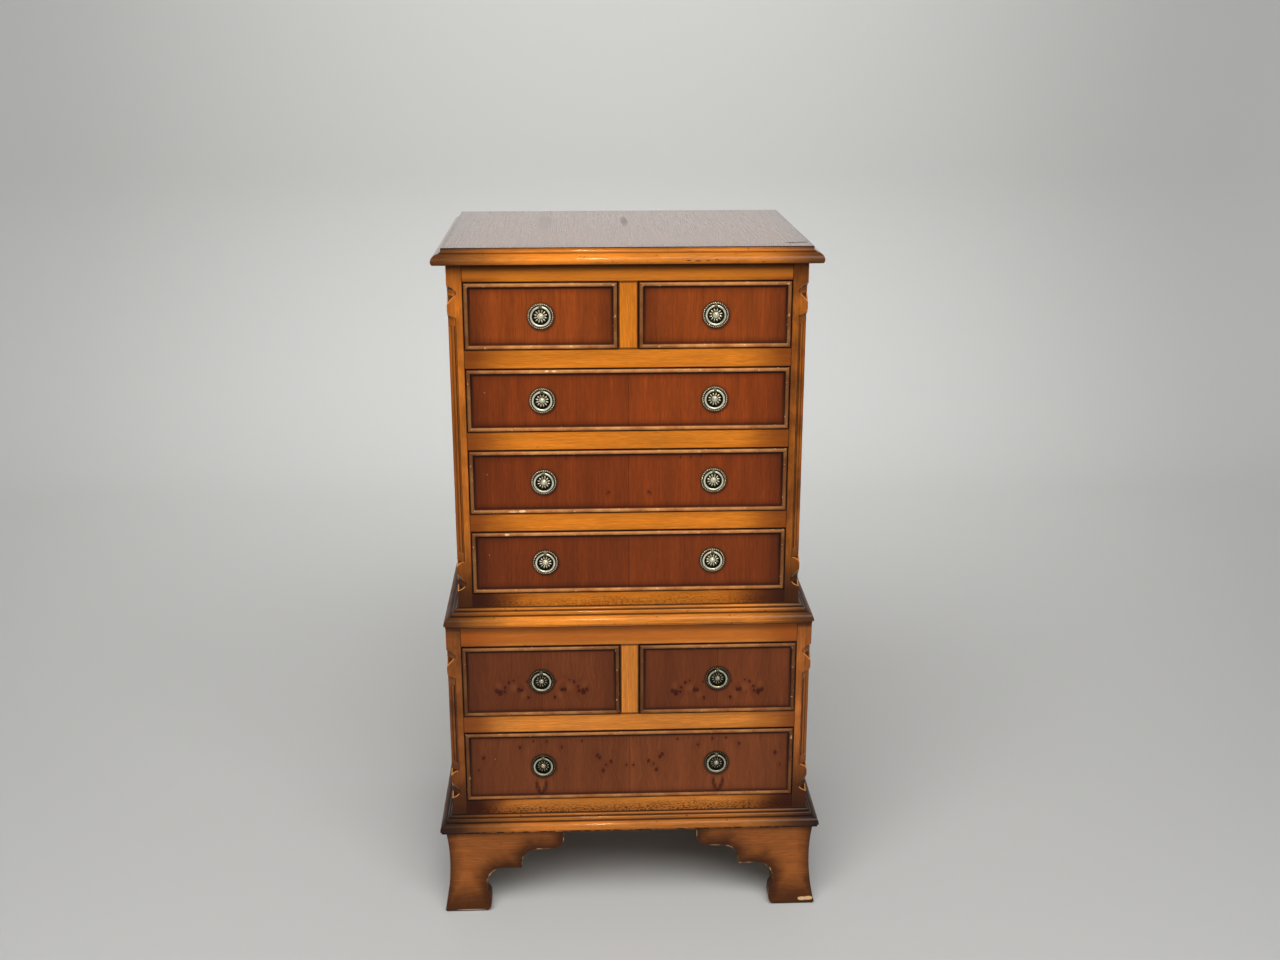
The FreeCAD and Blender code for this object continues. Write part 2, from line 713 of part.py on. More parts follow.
def pull(name, x, front_y, z):
    # A turned back plate with a dished channel, an eye bolt at its top and a nut inside the drawer.
    plate = doc.addObject("PartDesign::Body", f"{name}_plate")
    half = sketch_on(plate, "XY_Plane", f"{name}_half")
    rim = "plate_radius - rim_width"
    draw(half, (
        ("0", "-seat_gap"),
        ("plate_radius", "-seat_gap"),
        ("plate_radius", "rim_width / 2 - rim_height"),
        ("plate_radius - rim_width / 2", "-rim_height", ROUND_SHARE, -1),
        (rim, "rim_width / 2 - rim_height", ROUND_SHARE, -1),
        (rim, "-dish_height"),
        ("rosette_radius", "-dish_height"),
        ("boss_radius", "-rosette_height", DOME_SHARE, -1),
        ("0", "-boss_height", DOME_SHARE, -1),
    ))
    spin(plate, half, "Revolution")
    bore = sketch_on(plate, "XZ_Plane", f"{name}_bore")
    circle(bore, "0", "ring_radius", "shank_hole_radius")
    pocket(plate, bore)
    place(plate, x, front_y, z)

    eye_z = f"{z} + ring_radius"
    bolt = doc.addObject("PartDesign::Body", f"{name}_bolt")
    lug = sketch_on(bolt, "YZ_Plane", f"{name}_lug")
    draw(lug, (
        ("-dish_height", "-lug_half"),
        ("-dish_height", "lug_half"),
        ("-ring_stand", "lug_half"),
        ("-ring_stand - lug_half", "0", ROUND_SHARE, 1),
        ("-ring_stand", "-lug_half", ROUND_SHARE, 1),
    ))
    circle(lug, "-ring_stand", "0", "eye_radius")
    pad(bolt, lug, "lug_width", both=True)
    shank = sketch_on(bolt, "XZ_Plane", f"{name}_shank")
    tie(shank, **{"AttachmentOffset.Base.z": "dish_height"})
    circle(shank, "0", "0", "shank_radius")
    pad(bolt, shank, "dish_height + front_thick + seat_gap + nut_thick", back=True)
    place(bolt, x, front_y, eye_z)

    flats = doc.addObject("Part::Prism", f"{name}_flats")
    flats.Polygon = 6
    tie(flats, Circumradius="nut_radius", Height="nut_thick")
    bore = doc.addObject("Part::Cylinder", f"{name}_nut_bore")
    tie(bore, Radius="shank_radius", Height="nut_thick")
    for piece in (flats, bore):
        place(piece, x, f"{front_y} + front_thick + seat_gap", eye_z, Rotation(Vector(1, 0, 0), -90))
    return [plate, bolt, cut(f"{name}_nut", flats, bore)]


def drawer(name, chest, x, bay, row_z, row_height, pulls):
    front_y = f"{chest}_front_y"
    width, height = f"({bay} - 2 * drawer_gap)", f"({row_height} - 2 * drawer_gap)"
    centres = {hand: f"{side} * {chest}_pull_x" for side, hand in pulls}
    drawer_front(f"{name}_front", width, height, front_y, x, f"{row_z} + drawer_gap", centres.values())

    length = f"({chest}_depth - front_thick - back_thick - box_rear_space)"
    box_height = f"({row_height} - run_gap - box_drop)"
    drawer_box(f"{name}_box", width, box_height, f"{front_y} + front_thick", length, x, f"{row_z} + run_gap")

    hardware = []
    rings = []
    middle_z = f"{row_z} + {row_height} / 2"
    for hand, pull_x in centres.items():
        prefix = f"{name}_{hand}" if len(centres) > 1 else name
        hardware += pull(f"{prefix}_pull", pull_x, front_y, middle_z)
        ring = doc.addObject("Part::Torus", f"{prefix}_ring")
        tie(ring, Radius1="ring_radius", Radius2="ring_wire_radius")
        place(ring, pull_x, f"{front_y} - ring_stand", middle_z, Rotation(Vector(1, 0, 0), 90))
        rings.append(ring.Name)
    group(f"{name}_pulls", hardware)
    return [f"{name}_front", f"{name}_box", f"{name}_pulls", *rings]


LEFT, RIGHT = (-1, "left"), (1, "right")
UPPER_ROWS = (
    ("fourth_row_z", "upper_drawer_height"),
    ("third_row_z", "upper_drawer_height"),
    ("second_row_z", "second_drawer_height"),
    ("top_row_z", "upper_drawer_height"),
)
LOWER_ROWS = (
    ("bottom_row_z", "lower_drawer_height"),
    ("lower_row_z", "lower_drawer_height"),
)
DRAWERS = (
    ("top_left", "upper", "-upper_small_x", "upper_small_bay", UPPER_ROWS[3], (LEFT,)),
    ("top_right", "upper", "upper_small_x", "upper_small_bay", UPPER_ROWS[3], (RIGHT,)),
    ("second", "upper", "0", "upper_bay", UPPER_ROWS[2], (LEFT, RIGHT)),
    ("third", "upper", "0", "upper_bay", UPPER_ROWS[1], (LEFT, RIGHT)),
    ("fourth", "upper", "0", "upper_bay", UPPER_ROWS[0], (LEFT, RIGHT)),
    ("lower_left", "lower", "-lower_small_x", "lower_small_bay", LOWER_ROWS[1], (LEFT,)),
    ("lower_right", "lower", "lower_small_x", "lower_small_bay", LOWER_ROWS[1], (RIGHT,)),
    ("bottom", "lower", "0", "lower_bay", LOWER_ROWS[0], (LEFT, RIGHT)),
)

nodes = []

# Feet and base moulding.
front_foot("front_left_foot", -1)
front_foot("front_right_foot", 1)
group("rear_feet", rear_foot("rear_left_foot", -1) + rear_foot("rear_right_foot", 1))
base_edge = scaled(MOULDING_SHARES, "base_projection", "base_height")
moulding("base_moulding", base_edge, "base_projection", "lip_half", "lip_front_y", "foot_height")
nodes += ["front_left_foot", "front_right_foot", "rear_feet", "base_moulding"]

# Lower and upper chest.
screws = []
for chest, floor_z, rows, top_z, roof_z in (
    ("lower", "foot_height", LOWER_ROWS, "lower_top_z", "lower_top_z - floor_thick"),
    ("upper", "lower_top_z", UPPER_ROWS, "upper_top_z", "upper_top_z"),
):
    screws += carcase(chest, floor_z, top_z)
    rails(chest, floor_z, rows, top_z)
    runners(chest, rows, roof_z)
    inner_board(f"{chest}_bottom", chest, floor_z)
    pieces = ("left_side", "right_side", "back", "posts", "rails", "runners", "bottom")
    nodes += [f"{chest}_{piece}" for piece in pieces]
inner_board("lower_top", "lower", "lower_top_z - floor_thick")
group("back_screws", screws)
nodes += ["lower_top", "back_screws"]

# Waist moulding round the foot of the upper chest, and the top with its moulded edge.
waist_edge = scaled(MOULDING_SHARES, "waist_projection", "waist_height")
waist_x, waist_y = "upper_width / 2 + waist_projection", "upper_front_y - waist_projection"
moulding("waist_moulding", waist_edge, "waist_projection", waist_x, waist_y, "lower_top_z")
top_edge = [
    ("top_lipping", "0"),
    *scaled(TOP_EDGE_SHARES, "top_inset", "top_thick"),
    ("top_lipping", "top_thick"),
]
top_x, top_y = "upper_width / 2 + top_overhang", "upper_front_y - top_overhang"
moulding("top_moulding", top_edge, "top_lipping", top_x, top_y, "upper_top_z")
panel_half = f"({top_x} - top_lipping)"
panel_start = (f"-{panel_half}", f"{top_y} + top_lipping", "upper_top_z")
board("top_panel", panel_start, (f"2 * {panel_half}", f"back_y - ({panel_start[1]})", "top_thick"))
nodes += ["waist_moulding", "top_moulding", "top_panel"]

# Drawers with their pulls.
for name, chest, x, bay, (row_z, row_height), pulls in DRAWERS:
    nodes += drawer(name, chest, x, bay, row_z, row_height, pulls)

doc.recompute()
for thing in doc.Objects:
    if {"Invalid", "Error"} & set(thing.State):
        raise RuntimeError(f"{thing.Label} did not build")

os.makedirs("parts", exist_ok=True)
for node in nodes:
    shape = doc.getObject(node).Shape
    if shape.isNull() or not shape.isValid() or not shape.Solids:
        raise RuntimeError(f"{node} has no sound solid")
    shape.exportStep(f"parts/{node}.step")
print(f"{len(nodes)} parts written")
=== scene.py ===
import math
from types import SimpleNamespace

import bmesh
import bpy
from mathutils import Matrix, Vector


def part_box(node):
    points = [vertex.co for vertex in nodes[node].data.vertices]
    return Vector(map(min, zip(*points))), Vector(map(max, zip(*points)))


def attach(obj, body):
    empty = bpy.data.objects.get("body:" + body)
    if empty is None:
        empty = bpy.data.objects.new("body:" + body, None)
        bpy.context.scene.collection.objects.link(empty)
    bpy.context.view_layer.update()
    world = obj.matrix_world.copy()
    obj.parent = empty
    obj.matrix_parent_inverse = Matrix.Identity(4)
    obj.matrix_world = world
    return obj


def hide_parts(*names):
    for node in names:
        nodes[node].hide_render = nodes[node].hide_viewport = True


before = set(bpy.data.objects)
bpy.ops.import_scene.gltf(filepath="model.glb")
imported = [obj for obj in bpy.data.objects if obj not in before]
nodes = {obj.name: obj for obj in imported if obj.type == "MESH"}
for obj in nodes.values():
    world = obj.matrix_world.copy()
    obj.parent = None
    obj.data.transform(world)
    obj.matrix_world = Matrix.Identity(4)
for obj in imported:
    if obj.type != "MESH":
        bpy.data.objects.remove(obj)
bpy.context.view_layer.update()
mm = 0.001
print("frame loaded,", len(nodes), "CAD nodes")


def tint(red, green, blue):
    # screen colour to the linear colour that nodes use
    return (*(((c / 255 + 0.055) / 1.055) ** 2.4 for c in (red, green, blue)), 1.0)


def shaded(colour, share):
    return tint(*(c * share for c in colour))


def newMaterial(name):
    material = bpy.data.materials.new(name)
    material.use_nodes = True
    return material, material.node_tree, material.node_tree.nodes["Principled BSDF"]


def plug(tree, socket, source):
    if isinstance(source, bpy.types.NodeSocket):
        tree.links.new(source, socket)
    else:
        socket.default_value = source


def addNode(tree, kind, sockets, **settings):
    node = tree.nodes.new(kind)
    for key, setting in settings.items():
        setattr(node, key, setting)
    for key, source in sockets.items():
        plug(tree, node.inputs[key], source)
    return node


def calc(tree, operation, first, second=0.0, third=0.0):
    return addNode(tree, "ShaderNodeMath", {0: first, 1: second, 2: third}, operation=operation).outputs[0]


def plus(tree, first, second):
    return calc(tree, "ADD", first, second)


def minus(tree, first, second):
    return calc(tree, "SUBTRACT", first, second)


def times(tree, first, second):
    return calc(tree, "MULTIPLY", first, second)


def timesPlus(tree, first, second, third):
    return calc(tree, "MULTIPLY_ADD", first, second, third)


def absolute(tree, source):
    return calc(tree, "ABSOLUTE", source)


def below(tree, source, limit):
    return calc(tree, "LESS_THAN", source, limit)


def above(tree, source, limit):
    return calc(tree, "GREATER_THAN", source, limit)


def combine(tree, operation, sources):
    total = sources[0]
    for source in sources[1:]:
        total = calc(tree, operation, total, source)
    return total


def smallest(tree, *sources):
    return combine(tree, "MINIMUM", sources)


def largest(tree, *sources):
    return combine(tree, "MAXIMUM", sources)


def product(tree, *sources):
    return combine(tree, "MULTIPLY", sources)


def ease(tree, source, low, high, start=0.0, end=1.0):
    sockets = {"Value": source, "From Min": low, "From Max": high, "To Min": start, "To Max": end}
    return addNode(tree, "ShaderNodeMapRange", sockets, interpolation_type="SMOOTHSTEP").outputs["Result"]


def slope(tree, away, limits, unit=mm):
    # limits: where it starts and ends, in mm or another unit, then the values before and after
    start, end, before, after = limits
    return ease(tree, away, start * unit, end * unit, before, after)


def point(tree, x, y, z):
    return addNode(tree, "ShaderNodeCombineXYZ", {0: x, 1: y, 2: z}).outputs[0]


def stretch(tree, source, across, along):
    # grain space: x and y across the fibres, z along them
    sockets = {"Vector": source, "Scale": (across, across, along)}
    return addNode(tree, "ShaderNodeMapping", sockets).outputs[0]


def cloud(tree, source, scale, detail=2.0, rough=0.5):
    sockets = {"Vector": source, "Scale": scale, "Detail": detail, "Roughness": rough}
    return addNode(tree, "ShaderNodeTexNoise", sockets).outputs[0]


def patches(tree, source, noise, span, start=0.0, end=1.0):
    # soft patches: scale, detail and roughness of the noise, and the span of it that eases
    return ease(tree, cloud(tree, source, *noise), *span, start, end)


def waver(tree, source, scale, reach):
    # soft random distance, as much below zero as above
    return timesPlus(tree, cloud(tree, source, scale, 3), 2 * reach * mm, -reach * mm)


def scatter(tree, source, scale):
    # distance from the nearest of many scattered spots, and that spot's own random number
    cells = addNode(tree, "ShaderNodeTexVoronoi", {"Vector": source, "Scale": scale})
    chosen = addNode(tree, "ShaderNodeSeparateColor", {0: cells.outputs["Color"]}).outputs[0]
    return cells.outputs["Distance"], chosen


def distance(tree, source, centre):
    node = addNode(tree, "ShaderNodeVectorMath", {0: source, 1: centre}, operation="DISTANCE")
    return node.outputs["Value"]


def fromOval(tree, across, up, oval, drift):
    # distance from an oval's middle, drawn so that the edge of the oval is its half width away
    left, rise, wide, high = oval
    tall = times(tree, minus(tree, up, rise * mm), wide / high)
    return plus(tree, distance(tree, point(tree, across, 0.0, tall), (left * mm, 0, 0)), drift)


def mix(tree, amount, base, over):
    return addNode(tree, "ShaderNodeMix", {0: amount, 6: base, 7: over}, data_type="RGBA").outputs[2]


def paint(tree, amount, base, colour):
    return mix(tree, amount, base, tint(*colour))


def colourRamp(tree, source, stops):
    node = addNode(tree, "ShaderNodeValToRGB", {0: source})
    elements = node.color_ramp.elements
    for spot, _ in stops[1:-1]:
        elements.new(spot)
    for element, (spot, colour) in zip(elements, stops):
        element.position = spot
        element.color = colour
    return node.outputs[0]


def coordinates(tree, centre):
    # object coordinates measured from a point of the piece
    source = tree.nodes.new("ShaderNodeTexCoord").outputs["Object"]
    moved = addNode(tree, "ShaderNodeMapping", {"Vector": source, "Location": [-c for c in centre]})
    return moved.outputs[0], addNode(tree, "ShaderNodeSeparateXYZ", {0: moved.outputs[0]}).outputs


def emboss(tree, shader, height, strength, depth):
    sockets = {"Height": height, "Strength": strength, "Distance": depth * mm}
    plug(tree, shader.inputs["Normal"], addNode(tree, "ShaderNodeBump", sockets).outputs[0])


grainLook = {
    "bend": (14, 9), "pins": (85, 38),            # changes across and along the fibres, per metre
    # the same for bands of tone, streaks and pores, then detail, roughness and share of the figure
    "layers": [(40, 5, 3, 0.5, 0.38), (420, 16, 3, 0.6, 0.34), (1500, 70, 1, 0.5, 0.28)],
    "tones": (0.36, 0.5, 0.64),                   # figure of the dark, the middle and the light wood
    "pin": (0.04, 0.16, 1, 0), "pinFade": 0.04, "pinDark": 0.5,
    "smears": ((35, 3), (0.3, 0.7)), "relief": 0.4,
}


def woodFigure(tree, across, depth, along, wood):
    # wavering streaks on broad bands of tone, with pin knots here and there
    look = grainLook
    across = plus(tree, across, wood["seed"])
    slow = stretch(tree, point(tree, across, depth, along), *look["bend"])
    grain = point(tree, plus(tree, across, waver(tree, slow, 1.0, wood["waver"])), depth, along)
    figure = 0.0
    for wide, long, detail, rough, share in look["layers"]:
        noise = cloud(tree, stretch(tree, grain, wide, long), 1.0, detail, rough)
        figure = timesPlus(tree, noise, share, figure)
    tones = [shaded(wood["mid"], share) for share in (1 - wood["contrast"], 1, 1 + wood["contrast"])]
    colour = colourRamp(tree, figure, list(zip(look["tones"], tones)))
    away, chosen = scatter(tree, stretch(tree, grain, *look["pins"]), 1.0)
    few = ease(tree, chosen, wood["pins"], wood["pins"] + look["pinFade"], look["pinDark"], 0)
    pins = product(tree, slope(tree, away, look["pin"], 1.0), few)
    return paint(tree, pins, colour, wood["knot"]), figure


def polish(tree, shader, place, colour, figure, finish):
    # lacquer with faint smears, and a little relief along the grain
    plug(tree, shader.inputs["Base Color"], colour)
    rough, smear = finish["rough"], finish["smear"]
    if smear:
        rough = patches(tree, place, *grainLook["smears"], rough - smear, rough + smear)
    plug(tree, shader.inputs["Roughness"], rough)
    if finish["relief"]:
        emboss(tree, shader, figure, finish["relief"], grainLook["relief"])
    shader.inputs["Specular IOR Level"].default_value = finish["shine"]
    shader.inputs["Coat Weight"].default_value = finish["coat"]
    shader.inputs["Coat Roughness"].default_value = finish["haze"]


def dress(name, material):
    nodes[name].data.materials.clear()
    nodes[name].data.materials.append(material)


# woods: colours, contrast, how far the grain wavers in mm, and the share of pin knots
redYew = {"knot": (52, 18, 8), "contrast": 0.23, "waver": 5, "pins": 0.1}
honeyYew = {"knot": (110, 52, 16), "contrast": 0.19, "waver": 6, "pins": 0.05}
paleWood = {"mid": (203, 163, 112), "knot": (128, 82, 44), "contrast": 0.12, "waver": 8, "pins": 0.02}
satin = {"rough": 0.41, "smear": 0.06, "relief": 0.12, "shine": 0.12, "coat": 0.03, "haze": 0.1}
gloss = {"rough": 0.37, "smear": 0.06, "relief": 0.06, "shine": 0.12, "coat": 0.22, "haze": 0.06}
bare = {"rough": 0.63, "smear": 0.06, "relief": 0.3, "shine": 0.2, "coat": 0.0, "haze": 0.1}
mirror = {"rough": 0.3, "smear": 0.0, "relief": 0.0, "shine": 0.1, "coat": 1.0, "haze": 0.1}

drawerLook = {
    "bead": 6.5, "proud": 3, "seat": 10,          # cock bead: width, how far it stands out and is let in, mm
    "burnt": (46, 17, 8), "line": (26, 10, 5), "pale": (150, 88, 48), "halo": (88, 38, 18),
    "knot": (46, 12, 6), "chip": (236, 196, 156),
    "calm": {"upper": 0.85, "lower": 0.72},       # share of the yew's contrast
    "seedStep": 0.37, "drift": (26, 6), "speckle": (420, 2.2),
    # stain of the veneer beside the bead: reach in mm, and how clear it is at the bead
    "endShade": (30, 0.5), "endHaze": (90, 0.86), "sideShade": (11, 0.6), "sideDrift": 0.4,
    "leaf": (-0.2, 45, 0.16, 0), "seam": (0.2, 1.1, 0.4, 0),
    # spots, in their radii; knots are drawn out along the grain, and the fibres part round them
    "knotTall": 0.72, "parting": (0, 5, 0.85, 0), "paleSpot": (0, 1, 0.32, 0),
    "haloSpot": (0.8, 3.6, 0.24, 0), "knotSpot": (0.5, 1.1), "flameSpot": (0.2, 1.5, 0.75, 0),
    "speckScale": 62.0, "speck": (0.02, 0.06, 0.4, 0), "speckShare": 0.12,
    # painted shadow round each pull's plate: where it starts and ends in mm, how dark, and how far right and
    # up it is set, mm
    "plateShadow": (16.5, 21.5, 0.7, 0), "plateShadowAt": (0.8, -1.4),
    "quirkIn": (-0.9, -0.1, 0, 1), "quirk": (0.6, 4.4, 0.92, 0), "lowQuirk": 0.5,     # dark stain and painted shade in the quirk, the shade paler at the foot
    "gapShade": (0.3, 1.2, 0.95, 0), "beadEdge": (-0.1, 0.1, 0, 1), "seatEdge": (-0.2, 0.2, 0, 1),
}
beadLook = {
    # flank: painted shade on both sides of the bead's rounded crown
    "flank": (92, 47, 22), "dark": (156, 92, 48), "light": (206, 142, 82),
    "wear": ((22, 4, 0.7), (0.3, 0.7)), "flecks": ((210, 3, 0.6), (0.66, 0.71), 0, 0.7),
    "flankAt": (-2.7, -1.3, 0, 1), "endShade": (0, 65, 0.5, 0),
    "upright": (-1, 1, 0.3, 0),                   # painted shade: the upright beads at the ends are darker
    "chipSpot": (0.8, 1.1, 1, 0),
}
coreLook = {
    "light": (128, 80, 44), "dark": 0.78, "tones": (0.4, 0.6), "tail": (206, 168, 120),
    "pitch": 21, "tailHalf": (0.34, 0.22),        # dovetails, mm apart; share of that, front and back
    "tailEdge": (-0.01, 0.01, 1, 0), "tailSkin": (0.05, 0.2, 1, 0),
}
# x and z from the middle of the front, mm: knots and pale spots with a radius,
# chips and flames with half their width and half their height
burr = [
    (63, -14.5, 3.2), (58, -17.5, 4.2), (52, -16, 2.2), (51, -9.5, 2.0), (45.5, -2, 2.2),
    (32, -13.5, 3.4), (28, -14, 2.4), (18.5, -25.5, 2.4), (20, -1, 1.4), (39, 1, 1.3),
]
glow = [(60, -8, 7), (38, -10, 8), (26, -20, 7)]
burrDrop = 4.5                                    # the burr sits lower on the right-hand drawer, mm
upperDrawer = {
    "chest": "upper", "mirror": True, "shade": 1.0, "waver": redYew["waver"], "depth": 0.7, "stain": 0.0,
    "knots": [], "pale": [], "flames": [], "chips": [],
}
lowerDrawer = dict(upperDrawer, chest="lower", shade=0.45, waver=16, depth=0.85, stain=0.3)
drawers = {
    # the upper drawers' wood is darker from the top drawer down: partly their own tone, partly painted shade
    # where less light falls
    "top_left": dict(upperDrawer, wood=(133, 61, 20), mirror=False),
    "top_right": dict(upperDrawer, wood=(131, 60, 20), mirror=False),
    "second": dict(upperDrawer, wood=(130, 57, 18), chips=[(-108, 40, 3, 1.2), (-99, 40, 3.4, 1.1)]),
    "third": dict(
        upperDrawer, wood=(122, 53, 17), chips=[(-157, -41.5, 7, 0.8), (-145, -41, 5, 1.8)],
        knots=[(27, -16, 1.8), (30, -18, 1.4), (70, 34, 1.2), (84, 33, 1.4), (98, 34, 1.2)],
    ),
    "fourth": dict(upperDrawer, wood=(115, 51, 18), chips=[(-167, 41, 3.4, 1.7)]),
    "lower_left": dict(lowerDrawer, wood=(107, 54, 27), knots=burr, pale=glow),
    "lower_right": dict(
        lowerDrawer, wood=(109, 55, 27),
        knots=[(x, z - burrDrop, radius) for x, z, radius in burr],
        pale=[(x, z - burrDrop, radius) for x, z, radius in glow],
    ),
    "bottom": dict(
        lowerDrawer, wood=(116, 61, 32), shade=0.6, depth=0.75, stain=0.25,
        pale=[(127, -26, 9), (126, -35, 8)],
        knots=[
            (46, 14, 3.4), (43, 10, 2.4), (27, 4, 2.8), (34, -1, 1.8), (38, -10, 3), (5, -2, 1.8),
            (208, 13, 3), (156, 29, 2.4), (137, 38, 1.8), (118, 37, 1.7), (97, 28, 2), (68, 37, 1.7),
            (215, -6, 1.6),
        ],
        flames=[
            (120, -31, 2.4, 8), (123, -39, 2.4, 6), (133, -31, 2.4, 8), (130, -39, 2.4, 6),
            (126.5, -45, 3, 4),
        ],
    ),
}


def ringsOf(name):
    return [ring for ring in (name + "_ring", name + "_left_ring", name + "_right_ring") if ring in nodes]


def pullsOf(name):
    return [sum(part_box(ring), Vector()) / 2 for ring in ringsOf(name)]


def measureFront(tree, name):
    # places on a drawer front, from the middle of its panel
    look = drawerLook
    low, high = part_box(name + "_front")
    middle, half = (low + high) / 2, (high - low) / 2
    place, (x, y, z) = coordinates(tree, (middle.x, low.y + look["proud"] * mm, middle.z))
    side = absolute(tree, x)
    fromEnd = minus(tree, half.x, side)
    fromSide = minus(tree, half.z, absolute(tree, z))
    return SimpleNamespace(
        middle=middle, half=half, place=place, x=x, y=y, z=z, side=side, fromEnd=fromEnd, fromSide=fromSide,
        edge=smallest(tree, fromEnd, fromSide), border=look["bead"] * mm,
        drift=waver(tree, place, *look["drift"]), speckle=waver(tree, place, *look["speckle"]),
    )


def panelYew(tree, at, name, number):
    # stained yew with the knots and pale patches of this drawer, and painted shadow round its pulls
    look, drawer = drawerLook, drawers[name]
    tall = look["knotTall"]
    spot = point(tree, at.side, 0.0, times(tree, at.z, tall))

    def fromSpot(across, up):
        return distance(tree, spot, (across * mm, 0, up * tall * mm))

    wood = dict(redYew, seed=look["seedStep"] * number, mid=drawer["wood"], waver=drawer["waver"])
    wood["contrast"] *= look["calm"][drawer["chest"]]
    grainX = at.side if drawer["mirror"] else at.x
    for across, up, radius in drawer["knots"]:
        near = slope(tree, fromSpot(across, up), look["parting"], radius * mm)
        grainX = minus(tree, grainX, times(tree, near, minus(tree, at.side, across * mm)))
    panel, figure = woodFigure(tree, grainX, at.y, at.z, wood)

    inFrom = plus(tree, at.fromEnd, at.drift)
    upFrom = timesPlus(tree, at.drift, look["sideDrift"], at.fromSide)
    shades = [(inFrom, look["endShade"]), (inFrom, look["endHaze"]), (upFrom, look["sideShade"])]
    clear = product(tree, *(ease(tree, away, at.border, at.border + reach * mm, least, 1)
                            for away, (reach, least) in shades))
    panel = paint(tree, times(tree, minus(tree, 1.0, clear), drawer["shade"]), panel, look["burnt"])
    if drawer["mirror"]:
        # the two leaves of veneer meet in a dark seam and differ a little in tone
        leaf = times(tree, slope(tree, at.x, look["leaf"]), below(tree, at.x, 0.0))
        panel = paint(tree, leaf, panel, look["burnt"])
        panel = paint(tree, slope(tree, at.side, look["seam"]), panel, look["burnt"])

    for across, up, radius in drawer["pale"]:
        away = plus(tree, fromSpot(across, up), at.speckle)
        panel = paint(tree, slope(tree, away, look["paleSpot"], radius * mm), panel, look["pale"])
    for across, up, radius in drawer["knots"]:
        away = plus(tree, fromSpot(across, up), at.speckle)
        panel = paint(tree, slope(tree, away, look["haloSpot"], radius * mm), panel, look["halo"])
        heart = slope(tree, away, (*look["knotSpot"], drawer["depth"], 0), radius * mm)
        panel = paint(tree, heart, panel, look["knot"])
    for oval in drawer["flames"]:
        away = fromOval(tree, at.side, at.z, oval, at.speckle)
        panel = paint(tree, slope(tree, away, look["flameSpot"], oval[2] * mm), panel, look["knot"])

    face = point(tree, at.x, 0.0, at.z)
    away, chosen = scatter(tree, face, look["speckScale"])
    bits = product(tree, slope(tree, away, look["speck"], 1.0), below(tree, chosen, look["speckShare"]))
    panel = paint(tree, bits, panel, look["chip"])
    right, up = look["plateShadowAt"]
    for pull in pullsOf(name):
        # painted shadow round the plate of each pull, set a little right of it and below
        away = distance(tree, face, (pull.x - at.middle.x + right * mm, 0, up * mm))
        panel = paint(tree, slope(tree, away, look["plateShadow"]), panel, look["line"])
    return panel, figure


def beadYew(tree, at, drawer):
    # wear along its crown, with painted shade on both sides of it
    look, burnt, chip = beadLook, drawerLook["burnt"], drawerLook["chip"]
    bead = paint(tree, patches(tree, at.place, *look["wear"]), tint(*look["dark"]), look["light"])
    bead = paint(tree, slope(tree, at.y, look["flankAt"]), bead, look["flank"])
    bead = paint(tree, slope(tree, plus(tree, at.fromEnd, at.drift), look["endShade"]), bead, burnt)
    # painted shade on the upright beads, and the drawer's own stain on all of them
    upright = slope(tree, minus(tree, at.fromEnd, at.fromSide), look["upright"])
    bead = paint(tree, plus(tree, upright, drawer["stain"]), bead, burnt)
    bead = paint(tree, patches(tree, at.place, *look["flecks"]), bead, chip)
    for oval in drawer["chips"]:
        # slivers that broke off, longer than they are high
        away = fromOval(tree, at.x, at.z, oval, at.speckle)
        bead = paint(tree, slope(tree, away, look["chipSpot"], oval[2] * mm), bead, chip)
    return bead


def coreWood(tree, at, figure):
    # solid core with the tails of the drawer sides let into its ends
    look = coreLook
    pitch = calc(tree, "FRACT", calc(tree, "DIVIDE", at.z, look["pitch"] * mm))
    fromTail = absolute(tree, minus(tree, pitch, 0.5))
    back = at.half.y * 2 - drawerLook["proud"] * mm
    flare = minus(tree, fromTail, ease(tree, at.y, drawerLook["seat"] * mm, back, *look["tailHalf"]))
    tail = times(tree, slope(tree, flare, look["tailEdge"], 1.0), slope(tree, at.fromEnd, look["tailSkin"]))
    tone = ease(tree, figure, *look["tones"])
    core = paint(tree, tone, shaded(look["light"], look["dark"]), look["light"])
    return paint(tree, tail, core, look["tail"])


def frontVeneer(name, number):
    # stained yew panel in a rounded bead, core and dovetails behind
    look = drawerLook
    material, tree, shader = newMaterial(name + "Front")
    at = measureFront(tree, name)
    panel, figure = panelYew(tree, at, name, number)
    bead = beadYew(tree, at, drawers[name])
    fromBead = minus(tree, at.edge, at.border)
    colour = mix(tree, slope(tree, fromBead, look["beadEdge"]), bead, panel)
    # dark stain and painted shade in the corner beside the bead, and painted shadow in the gap where the
    # drawer shuts
    quirk = product(
        tree,
        slope(tree, fromBead, look["quirkIn"]),
        slope(tree, fromBead, look["quirk"]),
        ease(tree, at.z, at.border - at.half.z, at.half.z - at.border, look["lowQuirk"], 1),
    )
    stainAndShade = largest(tree, quirk, slope(tree, at.edge, look["gapShade"]))
    colour = paint(tree, stainAndShade, colour, look["line"])
    behind = slope(tree, minus(tree, at.y, look["seat"] * mm), look["seatEdge"])
    colour = mix(tree, behind, colour, coreWood(tree, at, figure))
    polish(tree, shader, at.place, colour, figure, satin)
    return material


for number, name in enumerate(drawers):
    dress(name + "_front", frontVeneer(name, number))
print("drawer fronts veneered")

carcaseLook = {
    "gap": 0.8,                                   # round each drawer front, mm
    "row": {"upper": "top_left", "lower": "lower_left"},      # a drawer beside the divider
    "wide": {"upper": "second", "lower": "bottom"},           # a drawer from post to post
    "under": {"upper": "waist_moulding", "lower": "base_moulding"},
}


def bayHalf(chest):
    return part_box(carcaseLook["wide"][chest] + "_front")[1].x + carcaseLook["gap"] * mm


def footOf(chest):
    # top of the moulding that hides the lowest rail's foot
    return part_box(carcaseLook["under"][chest])[1].z


